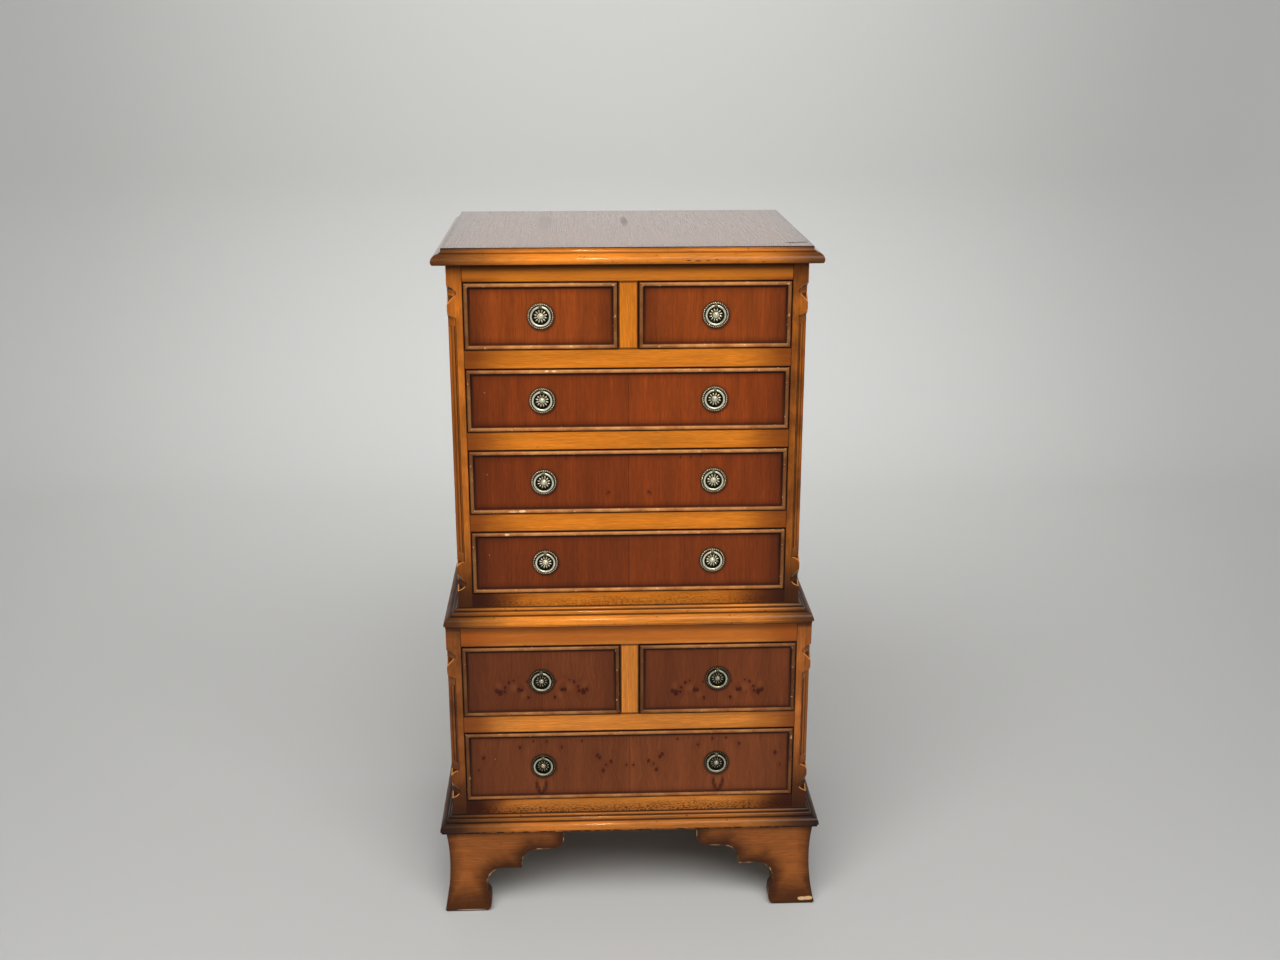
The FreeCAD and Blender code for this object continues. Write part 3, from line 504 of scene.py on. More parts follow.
railLook = {
    "wood": {"upper": (195, 112, 29), "lower": (196, 119, 47)}, "seeds": (0.8, 2.1, 5.3),
    "burnt": (88, 30, 10), "line": (40, 17, 8), "divider": 26, "hair": 0.05, "drift": (20, 22),
    "endShade": (0, 80, 0.75, 0), "sill": 22, "sillShade": (0, 112, 0.95, 0), "sillEnd": (0, 75, 0.85, 0),
    # head and stain: painted light on the upper head rail against the top's shadow, painted shade on the
    # lower one under the waist moulding; stain also darkens a band above the base moulding
    "headRise": 8, "headLight": 0.5, "head": {"upper": (226, 132, 44), "lower": (196, 102, 30)},
    "stain": {"upper": 0.0, "lower": 0.26}, "footStain": (0, 16, 1, 0),
    "eaves": {"upper": (2, 13, 0.95, 0), "lower": (2, 13, 0.6, 0)},      # shade under the moulding above
    "rub": 0.45, "scuffReach": (2, 20, 1, 0), "scuffDrift": 0.5, "scuffs": {"upper": 0.5, "lower": 0.8},
    "scuffPatches": ((560, 3, 0.6), (0.48, 0.56)),
    "joint": (0.1, 0.7, 0.7, 0), "dividerGapShade": (1.2, 2.4, 0.9, 0), "gapShade": (1.0, 2.0, 0.75, 0),
    "lipping": (3, 3.4, 0, 1),
}


def railWood(chest):
    # honey rails that darken towards the posts, grain upright on the divider
    look = railLook
    low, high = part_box(chest + "_rails")
    material, tree, shader = newMaterial(chest + "Rails")
    place, (x, y, z) = coordinates(tree, (0, low.y, 0))
    side = absolute(tree, x)
    fromPost = minus(tree, bayHalf(chest), side)
    rowLow, rowHigh = (corner.z + sign * carcaseLook["gap"] * mm
                       for sign, corner in zip((-1, 1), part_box(carcaseLook["row"][chest] + "_front")))
    half = look["divider"] / 2
    upright = product(
        tree,
        below(tree, side, (half + look["hair"]) * mm),
        above(tree, z, rowLow),
        below(tree, z, rowHigh),
    )
    lyingSeed, standingSeed, plainSeed = look["seeds"]
    wood = dict(honeyYew, mid=look["wood"][chest])
    lying, figure = woodFigure(tree, z, y, x, dict(wood, seed=lyingSeed))
    standing, _ = woodFigure(tree, x, y, z, dict(wood, seed=standingSeed))
    colour = mix(tree, upright, lying, standing)

    drift = waver(tree, place, *look["drift"])
    aboveFoot = minus(tree, z, footOf(chest))
    inFrom = plus(tree, fromPost, drift)
    onSill = below(tree, aboveFoot, look["sill"] * mm)
    sillShade = times(tree, slope(tree, inFrom, look["sillShade"]), onSill)
    dark = largest(tree, slope(tree, inFrom, look["endShade"]), sillShade)
    colour = paint(tree, dark, colour, look["burnt"])
    sillEnd = times(tree, slope(tree, inFrom, look["sillEnd"]), onSill)
    colour = paint(tree, sillEnd, colour, look["line"])
    # the head rail gets painted light on the upper chest and painted shade on the lower; a band above the
    # base moulding is darkened too
    onHead = ease(tree, z, rowHigh, rowHigh + look["headRise"] * mm)
    colour = paint(tree, times(tree, onHead, look["headLight"]), colour, look["head"][chest])
    stain = largest(tree, onHead, slope(tree, aboveFoot, look["footStain"]))
    colour = paint(tree, times(tree, stain, look["stain"][chest]), colour, look["burnt"])
    colour = paint(tree, slope(tree, minus(tree, high.z, z), look["eaves"][chest]), colour, look["line"])

    rubbed = point(tree, times(tree, x, look["rub"]), y, z)
    nearFoot = slope(tree, timesPlus(tree, drift, look["scuffDrift"], aboveFoot), look["scuffReach"])
    scuffs = patches(tree, rubbed, *look["scuffPatches"], 0, look["scuffs"][chest])
    colour = paint(tree, times(tree, nearFoot, scuffs), colour, look["line"])
    colour = paint(tree, slope(tree, fromPost, look["joint"]), colour, look["line"])
    # painted shadow in the gaps beside the divider
    fromGap = minus(tree, half * mm, side)
    gapShade = [times(tree, upright, slope(tree, fromGap, look["dividerGapShade"]))]
    for name, drawer in drawers.items():
        # painted shadow in the gap where each drawer shuts
        if drawer["chest"] == chest:
            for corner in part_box(name + "_front"):
                gapShade.append(slope(tree, absolute(tree, minus(tree, z, corner.z)), look["gapShade"]))
    colour = paint(tree, largest(tree, *gapShade), colour, look["line"])
    plain, _ = woodFigure(tree, z, y, x, dict(paleWood, seed=plainSeed))
    colour = mix(tree, slope(tree, y, look["lipping"]), colour, plain)       # lipping on a paler rail
    polish(tree, shader, place, colour, figure, satin)
    return material


postLook = {
    "wood": {"upper": (196, 110, 34), "lower": (178, 102, 44)}, "seed": 3.4,
    "burnt": (46, 21, 10), "line": (30, 12, 6), "wornHighlight": (226, 156, 90), "drift": (45, 18),
    "footShade": (5, 150, 0.95, 0.1), "headShade": (0, 85, 0.45, 0.05), "eaves": (2, 13, 0.9, 0),
    "flankShade": (7, 13, 0.45, 0), "flankDrift": 0.15, "blotches": ((24, 3, 0.6), (0.3, 0.7), -0.2, 0.2),
    "stain": {"upper": (0.24, 0.58), "lower": (0.56, 0.28)},      # how much darker, left post and right post; the upper right post's extra darkness is painted shade
    # the canted face lies this deep under the square corner, mm; flutes are deeper and notches less deep
    "cant": 8.13, "canted": (-0.8, -0.4, 0, 1), "fluteIn": (0.7, 1.4),
    "flutes": {"upper": 0.75, "lower": 0.95}, "fluteSide": (-2, 2, 0.5, 1),
    "seam": (5.9, 7.2, 0, 0.8), "notch": (1.5, 6, 0.1, 0.75),
    "arris": (0.5, 1.9, 0.85, 0), "skin": 0.1, "carved": 16, "bay": (0.3, 1.3, 0.8, 0),
}


def postWood(chest):
    # honey posts with painted shade in the flutes and notches
    look = postLook
    low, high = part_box(chest + "_posts")
    material, tree, shader = newMaterial(chest + "Posts")
    place, (x, y, z) = coordinates(tree, (0, low.y, 0))
    side = absolute(tree, x)
    fromFlank = minus(tree, high.x, side)
    wood = dict(honeyYew, seed=look["seed"], mid=look["wood"][chest])
    colour, figure = woodFigure(tree, x, y, z, wood)
    drift = waver(tree, place, *look["drift"])
    level = plus(tree, z, drift)
    stain = slope(tree, x, (-1, 1, *look["stain"][chest]))
    dark = largest(
        tree,
        slope(tree, minus(tree, level, footOf(chest)), look["footShade"]),
        slope(tree, minus(tree, high.z, level), look["headShade"]),
        slope(tree, timesPlus(tree, drift, look["flankDrift"], fromFlank), look["flankShade"]),
        # painted shadow under the moulding above
        slope(tree, minus(tree, high.z, z), look["eaves"]),
        plus(tree, stain, patches(tree, place, *look["blotches"])),
    )
    colour = paint(tree, dark, colour, look["burnt"])

    # painted shade deep in the flutes and notches, and a dark seam on the cant
    carved = product(
        tree,
        above(tree, y, look["skin"] * mm),
        above(tree, fromFlank, look["skin"] * mm),
        below(tree, fromFlank, look["carved"] * mm),
    )
    deep = times(tree, plus(tree, fromFlank, y), math.sqrt(0.5))
    inner = times(tree, minus(tree, fromFlank, y), math.sqrt(0.5))
    underCant = minus(tree, deep, look["cant"] * mm)
    onCant = slope(tree, underCant, look["canted"])
    offCant = minus(tree, 1.0, onCant)
    flutes = slope(tree, underCant, (*look["fluteIn"], 0, look["flutes"][chest]))
    flutes = times(tree, flutes, slope(tree, inner, look["fluteSide"]))
    seam = times(tree, onCant, slope(tree, inner, look["seam"]))
    notches = times(tree, slope(tree, deep, look["notch"]), offCant)
    colour = paint(tree, times(tree, carved, largest(tree, flutes, seam, notches)), colour, look["line"])
    # painted highlight and wear along the arrises of the carving
    arris = slope(tree, smallest(tree, y, fromFlank), look["arris"])
    colour = paint(tree, product(tree, carved, arris, offCant), colour, look["wornHighlight"])
    # painted shadow in the gap beside the drawers
    fromBay = minus(tree, side, bayHalf(chest))
    colour = paint(tree, slope(tree, fromBay, look["bay"]), colour, look["line"])
    polish(tree, shader, place, colour, figure, satin)
    return material


for chest in ("upper", "lower"):
    dress(chest + "_rails", railWood(chest))
    dress(chest + "_posts", postWood(chest))
print("rails and posts finished")

# quirks: share of the height where each runs; corners: how far burnt, left and right, and how dark;
# returns along the sides: how dark, and their coat; ticks: how dark the knocked lower edge is;
# knocks on the front: x, height, half width and half height, mm
mouldings = {
    "top_moulding": {
        "wood": (193, 111, 29), "quirks": (0.69,), "quirkDark": 0.5, "corners": (140, 105, 0.85),
        "returns": (0.3, 1.0), "ticks": 0.0,
        "knocks": [(78, 5, 4, 1), (90, 4.5, 5, 1), (103, 5, 3, 0.8), (114, 6, 2.5, 0.8)],
    },
    "waist_moulding": {
        "wood": (202, 119, 38), "quirks": (0.61, 0.82), "quirkDark": 0.8, "corners": (112, 112, 0.9),
        "returns": (0.85, 0.0), "ticks": 0.0, "knocks": [],
    },
    "base_moulding": {
        "wood": (172, 101, 37), "quirks": (0.61, 0.82), "quirkDark": 0.8, "corners": (140, 140, 0.99),
        "returns": (0.85, 0.0), "ticks": 0.9, "knocks": [],
    },
}
mouldingLook = {
    "burnt": (34, 15, 9), "line": (26, 11, 6), "frontSeed": 1.3, "flankSeed": 4.6,
    "drift": (22, 16), "speckle": (420, 1.2), "quirk": (0.3, 1.0), "lip": (0.3, 1.5, 0.9, 0),
    "topEdge": (0.5, 1.8, 0.9, 0), "tick": (2, 4.5), "tickGrain": (120, 300),
    "tickPatches": ((1.0, 3, 0.6), (0.44, 0.54)), "flecks": ((130, 3, 0.65), (0.65, 0.71), 0, 0.6),
    "knock": (0.5, 1.1, 0.8, 0),
}


def mouldingWood(name):
    # grain runs with the strip, and the mitred corners are burnt dark
    look, strip = mouldingLook, mouldings[name]
    low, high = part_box(name)
    material, tree, shader = newMaterial(name.title().replace("_", ""))
    place, (x, y, z) = coordinates(tree, (0, low.y, low.z))
    fromFlank = minus(tree, high.x, absolute(tree, x))
    onFront = above(tree, fromFlank, y)
    wood = dict(honeyYew, mid=strip["wood"])
    frontWood, figure = woodFigure(tree, z, y, x, dict(wood, seed=look["frontSeed"]))
    flankWood, _ = woodFigure(tree, z, x, y, dict(wood, seed=look["flankSeed"]))
    colour = mix(tree, onFront, flankWood, frontWood)
    fromCorner = plus(tree, largest(tree, fromFlank, y), waver(tree, place, *look["drift"]))
    left, right, depth = strip["corners"]
    reach = slope(tree, x, (-1, 1, left * mm, right * mm))
    returnDark, returnCoat = strip["returns"]
    dark = ease(tree, fromCorner, 0, reach, depth, 0)
    dark = largest(tree, dark, ease(tree, onFront, 0, 1, returnDark, 0))
    colour = paint(tree, dark, colour, look["burnt"])

    height = high.z - low.z
    # dark quirk lines: dark stain and painted shade in the recesses of the profile
    for share in strip["quirks"]:
        away = absolute(tree, minus(tree, z, share * height))
        quirk = slope(tree, away, (*look["quirk"], strip["quirkDark"], 0))
        colour = paint(tree, quirk, colour, look["line"])
    # dark lines along the lip and the top edge, a knocked lower edge and a few flecks
    broken = patches(tree, stretch(tree, place, *look["tickGrain"]), *look["tickPatches"])
    dark = largest(
        tree,
        slope(tree, z, look["lip"]),
        slope(tree, minus(tree, height, z), look["topEdge"]),
        times(tree, slope(tree, z, (*look["tick"], strip["ticks"], 0)), broken),
        patches(tree, place, *look["flecks"]),
    )
    colour = paint(tree, dark, colour, look["line"])
    speckle = waver(tree, place, *look["speckle"])
    for oval in strip["knocks"]:
        away = fromOval(tree, x, z, oval, speckle)
        knock = times(tree, onFront, slope(tree, away, look["knock"], oval[2] * mm))
        colour = paint(tree, knock, colour, look["line"])
    polish(tree, shader, place, colour, figure, gloss)
    plug(tree, shader.inputs["Coat Weight"], ease(tree, onFront, 0, 1, returnCoat, gloss["coat"]))
    return material


for name in mouldings:
    dress(name, mouldingWood(name))
print("mouldings finished")

footLook = {
    # bracket, mm; its face lies behind the lip by the toe at the floor and the recess at the top
    "length": 176, "thick": 22, "recess": 7.5, "toe": 3, "sweep": 5.7,
    # rounded and square parts of the space under the shaped edge, mm from the corner and the floor
    "rounds": [(87, 42, 23.5), (136.5, 74, 21.5)],
    "corners": [(65, 42), (87, 66), (136.5, 96)],
    "wood": (152, 87, 39), "burnt": (36, 16, 9), "chip": (224, 182, 132), "seed": 6.2, "plainSeed": 7.7,
    "drift": (60, 8),
    "edgeShade": (0, 30, 0.85, 0), "cornerShade": (4, 34, 0.85, 0), "floorShade": (4, 60, 0.85, 0),
    "floorArris": (0.3, 1.1, 0.8, 0), "shapedArris": (0.3, 1.3, 0.8, 0), "arrisFrom": (38, 46, 0, 1),
    "arrisDeep": (0.6, 1.8, 1, 0), "flakes": ((95, 4, 0.7), (0.5, 0.57)),
    "plainDark": 0.7, "plainFrom": (-0.6, -0.2, 0, 1),
    "chipEdge": (300, 2.0), "chipSpot": (0.85, 1.05, 0.9, 0),
    # larger chips on the front: mm from the corner, mm up, half width, half height
    "chips": {
        "front_right_foot": [(11, 9, 6.5, 3), (20, 8.6, 7, 2.8)],
        "front_left_foot": [(40, 3.2, 22, 0.7)],
        "rear_feet": [],
    },
}


def footWood(name, rear):
    # shaded to dark along the shaped edge, with bare wood where the edge is knocked
    look = footLook
    low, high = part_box(name)
    outer = max(abs(low.x), abs(high.x)) + look["toe"] * mm      # lip of the base moulding
    material, tree, shader = newMaterial(name.title().replace("_", ""))
    place, (x, y, z) = coordinates(tree, (0, high.y if rear else low.y - look["toe"] * mm, 0))
    inward = times(tree, y, -1.0) if rear else y
    fromFlank = minus(tree, outer, absolute(tree, x))
    along = inward if rear else largest(tree, fromFlank, inward)
    inside = fromFlank if rear else smallest(tree, fromFlank, inward)
    # how far the swept face lies behind the lip at each height
    rise = calc(tree, "DIVIDE", z, high.z)
    hollow = times(tree, rise, minus(tree, 1.0, rise))
    face = timesPlus(tree, rise, (look["recess"] - look["toe"]) * mm, look["toe"] * mm)
    face = timesPlus(tree, hollow, 4 * look["sweep"] * mm, face)
    deep = minus(tree, inside, face)
    spaces = [minus(tree, look["length"] * mm, along)]
    for reach, up in look["corners"]:
        spaces.append(largest(tree, minus(tree, reach * mm, along), minus(tree, z, up * mm)))
    for reach, up, radius in look["rounds"]:
        away = distance(tree, point(tree, along, 0.0, z), (reach * mm, 0, up * mm))
        spaces.append(minus(tree, away, radius * mm))
    edge = smallest(tree, *spaces)

    wood = dict(honeyYew, seed=look["seed"] + rear, mid=look["wood"])
    colour, figure = woodFigure(tree, z, 0.0, along, wood)
    drift = waver(tree, place, *look["drift"])
    dark = largest(
        tree,
        slope(tree, plus(tree, edge, drift), look["edgeShade"]),
        slope(tree, plus(tree, along, drift), look["cornerShade"]),
        slope(tree, plus(tree, z, drift), look["floorShade"]),
    )
    colour = paint(tree, dark, colour, look["burnt"])
    # only the outer arris is knocked
    shapedArris = times(tree, slope(tree, edge, look["shapedArris"]), slope(tree, z, look["arrisFrom"]))
    knocked = product(
        tree,
        largest(tree, slope(tree, z, look["floorArris"]), shapedArris),
        slope(tree, deep, look["arrisDeep"]),
        patches(tree, place, *look["flakes"]),
    )
    onFront = below(tree, inward, (look["recess"] + look["sweep"]) * mm)
    for oval in look["chips"][name]:
        away = fromOval(tree, fromFlank, z, oval, waver(tree, place, *look["chipEdge"]))
        chipped = times(tree, slope(tree, away, look["chipSpot"], oval[2] * mm), onFront)
        knocked = largest(tree, knocked, chipped)
    colour = paint(tree, knocked, colour, look["chip"])
    plain, _ = woodFigure(tree, x, y, z, dict(paleWood, seed=look["plainSeed"]))
    # painted shade: the braces and blocks under the chest are darkened
    plain = paint(tree, look["plainDark"], plain, look["burnt"])
    fromBack = minus(tree, inside, (look["recess"] + look["thick"]) * mm)
    colour = mix(tree, slope(tree, fromBack, look["plainFrom"]), colour, plain)
    polish(tree, shader, place, colour, figure, satin)
    return material


for name in ("front_left_foot", "front_right_foot"):
    dress(name, footWood(name, False))
dress("rear_feet", footWood("rear_feet", True))
print("feet finished")

topLook = {
    "wood": {
        "mid": (134, 84, 56), "knot": (58, 30, 18), "contrast": 0.07, "seed": 8.8, "waver": 1, "pins": 0.0,
    },
    "stain": (30, 16, 10), "burnt": (70, 36, 20), "coatIor": 1.92, "coreSeed": 9.1,
    "streak": (330, 8),                           # across and along, per metre
    "shine": ((1.0, 4, 0.65), (0.34, 0.6), 0.9, 1),
    # dull spots: x, y, half width and half length in mm, how dull
    "spots": [
        (3, 85, 6, 54, 0.6), (-112, 75, 14, 90, 0.25),
        (217, -148, 9, 7, 0.95), (230, -146, 9, 7, 0.95), (241, -141, 7, 6, 0.95),
    ],
    "spot": (0.3, 1.3), "spotDrift": (120, 1.5), "rim": (0, 45, 0.45, 0), "veneer": (-1.2, -0.9, 0, 1),
}


def topVeneer():
    # mirror polish, dulled in streaks and spots
    look = topLook
    low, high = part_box("top_panel")
    material, tree, shader = newMaterial("topVeneer")
    place, (x, y, z) = coordinates(tree, (0, 0, high.z))
    colour, figure = woodFigure(tree, x, z, y, look["wood"])
    dull = []
    for *oval, depth in look["spots"]:
        away = fromOval(tree, x, y, oval, waver(tree, place, *look["spotDrift"]))
        dull.append(slope(tree, away, (*look["spot"], depth, 0), oval[2] * mm))
    dull = largest(tree, *dull)
    colour = paint(tree, dull, colour, look["stain"])
    fromRim = smallest(
        tree,
        minus(tree, high.x, absolute(tree, x)),
        minus(tree, y, low.y),
        minus(tree, high.y, y),
    )
    colour = paint(tree, slope(tree, fromRim, look["rim"]), colour, look["burnt"])
    plain, _ = woodFigure(tree, y, z, x, dict(paleWood, seed=look["coreSeed"]))
    colour = mix(tree, slope(tree, z, look["veneer"]), plain, colour)        # veneer on a core
    polish(tree, shader, place, colour, figure, mirror)
    across, along = look["streak"]
    streaks = point(tree, times(tree, x, across), times(tree, y, along), 0.0)
    coat = times(tree, patches(tree, streaks, *look["shine"]), ease(tree, dull, 0, 1, mirror["coat"], 0.0))
    plug(tree, shader.inputs["Coat Weight"], coat)
    shader.inputs["Coat IOR"].default_value = look["coatIor"]
    return material


dress("top_panel", topVeneer())

sideLook = {
    "wood": (142, 68, 27), "burnt": (52, 22, 11), "seed": 10.4, "plainSeed": 11.2,
    "drift": (12, 25), "shade": (0, 60, 0.75, 0), "veneer": (-1.2, -1.0, 0, 1),
}


def sideVeneer(name):
    # upright grain, darker round the border; plain inside
    look = sideLook
    low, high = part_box(name)
    middle, half = (low + high) / 2, (high - low) / 2
    material, tree, shader = newMaterial(name.title().replace("_", ""))
    place, (x, y, z) = coordinates(tree, middle)
    colour, figure = woodFigure(tree, y, x, z, dict(redYew, seed=look["seed"], mid=look["wood"]))
    fromRim = smallest(tree, minus(tree, half.y, absolute(tree, y)), minus(tree, half.z, absolute(tree, z)))
    dark = slope(tree, plus(tree, fromRim, waver(tree, place, *look["drift"])), look["shade"])
    colour = paint(tree, dark, colour, look["burnt"])
    plain, _ = woodFigure(tree, y, x, z, dict(paleWood, seed=look["plainSeed"]))
    outward = times(tree, x, 1.0 if middle.x > 0 else -1.0)
    colour = mix(tree, slope(tree, minus(tree, outward, half.x), look["veneer"]), plain, colour)
    polish(tree, shader, place, colour, figure, satin)
    return material


for chest in ("upper", "lower"):
    for hand in ("left", "right"):
        name = f"{chest}_{hand}_side"
        dress(name, sideVeneer(name))

# inner woods: axes across, through and along the grain, the colour, and where in the grain it starts
innerWoods = {
    "drawerWood": ("zxy", paleWood["mid"], 12.5),
    "carcaseWood": ("zxy", (190, 148, 98), 13.7),
    "boardWood": ("yzx", (186, 146, 98), 14.1),
    "backPly": ("xyz", (176, 132, 84), 15.9),
    # painted shade: the board under the chest is dark
    "shadedUnderBoard": ("yzx", (98, 70, 44), 16.3),
}
dustLook = {"colour": (150, 112, 74), "patches": ((9, 4, 0.6), (0.45, 0.75), 0, 0.35)}


def plainWood(name):
    # unpolished wood, dusty in places
    axes, mid, seed = innerWoods[name]
    material, tree, shader = newMaterial(name)
    place, split = coordinates(tree, (0, 0, 0))
    across, depth, along = (split["xyz".index(axis)] for axis in axes)
    colour, figure = woodFigure(tree, across, depth, along, dict(paleWood, seed=seed, mid=mid))
    colour = paint(tree, patches(tree, place, *dustLook["patches"]), colour, dustLook["colour"])
    polish(tree, shader, place, colour, figure, bare)
    return material


inner = {name: plainWood(name) for name in innerWoods}
for name in drawers:
    dress(name + "_box", inner["drawerWood"])
for name in ("upper_runners", "lower_runners"):
    dress(name, inner["carcaseWood"])
for name in ("upper_bottom", "lower_top"):
    dress(name, inner["boardWood"])
# painted shade: the board under the chest is dark
dress("lower_bottom", inner["shadedUnderBoard"])
for name in ("upper_back", "lower_back"):
    dress(name, inner["backPly"])
print("sides, top and inner woods finished")

brassLook = {
    "recess": (20, 21, 12), "flank": (58, 53, 35), "body": (92, 85, 58), "bright": (246, 238, 208),
    # painted shade: the lower chest's brass is a darker copy, and its plates are bright on less of their
    # relief
    "tarnish": (84, 79, 54), "metal": 0.7, "dim": {"upper": 1.0, "lower": 0.8},
    # mm in front of the drawer where the brass is darkest and brightest, and where the lug begins
    "plate": {"upper": (1.35, 2.65, 4.5), "lower": (1.35, 3.4, 4.5)},
    # the ring is bright only on a narrow crest: polish and a painted highlight
    "ring": (4.4, 5.3, 9.0),
    "bodyAt": 0.45, "lugEdge": (0, 0.6, 0, 1), "unevenness": (260, 0.2), "rough": (0.6, 0.27),
    "stain": ((140, 3), (0.5, 0.68), 0, 0.35), "blotch": (260, 4, 0.6), "relief": (0.15, 0.2),
}


def agedBrass(name, chest, faceY, lifts, deep):
    # bright where hands polish it, dark in the recesses; the ring's narrow bright crest is polish and a
    # painted highlight
    look = brassLook
    lowLift, highLift, lug = lifts
    bright, body = (shaded(look[key], look["dim"][chest]) for key in ("bright", "body"))
    material, tree, shader = newMaterial(name)
    place, (_, y, _) = coordinates(tree, (0, faceY, 0))
    lift = times(tree, y, -1.0)
    uneven = plus(tree, lift, waver(tree, place, *look["unevenness"]))
    height = ease(tree, uneven, lowLift * mm, highLift * mm)
    stops = [(0.0, tint(*look[deep])), (look["bodyAt"], body), (1.0, bright)]
    colour = colourRamp(tree, height, stops)
    colour = mix(tree, slope(tree, minus(tree, lift, lug * mm), look["lugEdge"]), colour, body)
    colour = paint(tree, patches(tree, place, *look["stain"]), colour, look["tarnish"])
    plug(tree, shader.inputs["Base Color"], colour)
    plug(tree, shader.inputs["Roughness"], ease(tree, height, 0, 1, *look["rough"]))
    emboss(tree, shader, cloud(tree, place, *look["blotch"]), *look["relief"])
    shader.inputs["Metallic"].default_value = look["metal"]
    return material


pullLook = {
    # turned profiles: radius and height, mm
    "plate": [
        (0, 0.05), (16.7, 0.05), (17.1, 0.5), (17.1, 1.2), (16.6, 1.6), (15.4, 1.6), (14.8, 1.0),
        (10.6, 0.8), (10.1, 0.9), (9.4, 1.0), (6, 1.1), (0, 1.2),
    ],
    "boss": [(4.2, 1.0), (4.2, 2.2), (3.8, 2.6), (3.2, 2.5), (3.0, 3.0), (2.3, 3.8), (1.2, 4.15), (0, 4.2)],
    "eye": [(2.1, -2.0), (2.45, -2.3), (2.8, -1.9), (2.8, 1.9), (2.45, 2.3), (2.1, 2.0)],
    # ovals set in a ring: half sizes in mm, and the turn of each in its seat
    "rope": {"count": 34, "start": 0, "radius": 16.0, "lift": 1.75, "size": (1.6, 0.9, 0.75),
             "turn": (38, "Y"), "detail": 2},
    "petals": {"count": 12, "start": 0.5, "radius": 7.0, "lift": 1.3, "size": (1.1, 1.5, 2.5),
               "turn": (-10, "X"), "detail": 3},
    "eyeUp": 12.5, "eyeOut": 3.7, "shank": 2.0, "shankFrom": 2.0, "shankPast": 1.7,
    "frontThick": 18, "nut": 4.2, "nutThick": 3, "nutBevel": 0.35,
    "steps": {"plate": 64, "boss": 32, "eye": 32, "shank": 24, "nut": 6},        # sides of each turned part
}
weld = 0.01 * mm                                  # points closer than this are one
crease = math.radians(40)                         # edges that turn more than this stay sharp


def lathe(shape, profile, centre, axis, ring, steps):
    # spins radius and height pairs round an axis; ring points from the axis to the profile
    axis, ring = Vector(axis), Vector(ring)
    points = [shape.verts.new(centre + ring * r * mm + axis * h * mm) for r, h in profile]
    edges = [shape.edges.new(pair) for pair in zip(points, points[1:])]
    bmesh.ops.spin(shape, geom=points + edges, cent=centre, axis=axis, angle=2 * math.pi, steps=steps,
                   use_merge=True)


def vertsOf(made):
    return [item for item in made["geom"] if isinstance(item, bmesh.types.BMVert)]


def ovalRing(shape, centre, ovals):
    angle, axis = ovals["turn"]
    turn = Matrix.Rotation(math.radians(angle), 4, axis)
    size = Matrix.Diagonal((*(half * mm for half in ovals["size"]), 1))
    seat = Matrix.Translation((0, -ovals["lift"] * mm, ovals["radius"] * mm))
    for number in range(ovals["count"]):
        place = Matrix.Rotation(2 * math.pi * (number + ovals["start"]) / ovals["count"], 4, "Y")
        bmesh.ops.create_icosphere(shape, subdivisions=ovals["detail"], radius=1,
                                   matrix=Matrix.Translation(centre) @ place @ seat @ turn @ size)


def rod(shape, centre, radius, length, sides):
    # bar that runs from front to back
    place = Matrix.Translation(centre) @ Matrix.Rotation(math.pi / 2, 4, "X")
    made = bmesh.ops.create_cone(shape, cap_ends=True, segments=sides, radius1=radius * mm,
                                 radius2=radius * mm, depth=length * mm, matrix=place)
    return made["verts"]


def ringPull(shape, x, faceY, z):
    # plate with a rope edge, boss and petals, and the eye bolt with its nut behind the front
    look, steps = pullLook, pullLook["steps"]
    centre = Vector((x, faceY, z))
    out, up = Vector((0, -1, 0)), Vector((0, 0, 1))
    lathe(shape, look["plate"], centre, out, up, steps["plate"])
    lathe(shape, look["boss"], centre, out, up, steps["boss"])
    ovalRing(shape, centre, look["rope"])
    ovalRing(shape, centre, look["petals"])
    eyeCentre = centre + out * look["eyeOut"] * mm + up * look["eyeUp"] * mm
    lathe(shape, look["eye"] + look["eye"][:1], eyeCentre, (1, 0, 0), up, steps["eye"])
    length = look["frontThick"] + look["nutThick"] + look["shankPast"]
    shankAt = eyeCentre - out * (length / 2 + look["shankFrom"]) * mm
    rod(shape, shankAt, look["shank"], length, steps["shank"])
    nutAt = Vector((x, faceY + (look["frontThick"] + look["nutThick"] / 2) * mm, eyeCentre.z))
    nut = rod(shape, nutAt, look["nut"], look["nutThick"], steps["nut"])
    rim = {edge for vert in nut for edge in vert.link_edges}
    bmesh.ops.bevel(shape, geom=list(rim), offset=look["nutBevel"] * mm, affect="EDGES", segments=2,
                    profile=0.5, material=-1)


def newPiece(name, shape, material, body):
    bmesh.ops.remove_doubles(shape, verts=shape.verts, dist=weld)
    bmesh.ops.recalc_face_normals(shape, faces=shape.faces)
    mesh = bpy.data.meshes.new(name)
    shape.to_mesh(mesh)
    shape.free()
    mesh.materials.append(material)
    mesh.shade_smooth()
    mesh.set_sharp_from_angle(angle=crease)
    piece = bpy.data.objects.new(name, mesh)
    bpy.context.scene.collection.objects.link(piece)
    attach(piece, body)
    return piece


plateBrass, ringBrass = {}, {}
for name, drawer in drawers.items():
    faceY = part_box(name + "_front")[0].y + drawerLook["proud"] * mm
    chest = drawer["chest"]
    if chest not in plateBrass:
        lifts = brassLook["plate"][chest]
        plateBrass[chest] = agedBrass(chest + "PlateBrass", chest, faceY, lifts, "recess")
        ringBrass[chest] = agedBrass(chest + "RingBrass", chest, faceY, brassLook["ring"], "flank")
    shape = bmesh.new()
    for ring in ringsOf(name):
        dress(ring, ringBrass[chest])
    for pull in pullsOf(name):
        ringPull(shape, pull.x, faceY, pull.z)
    piece = newPiece(name + "_plates", shape, plateBrass[chest], name + "_drawer")
    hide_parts(name + "_pulls")
print("pulls made")

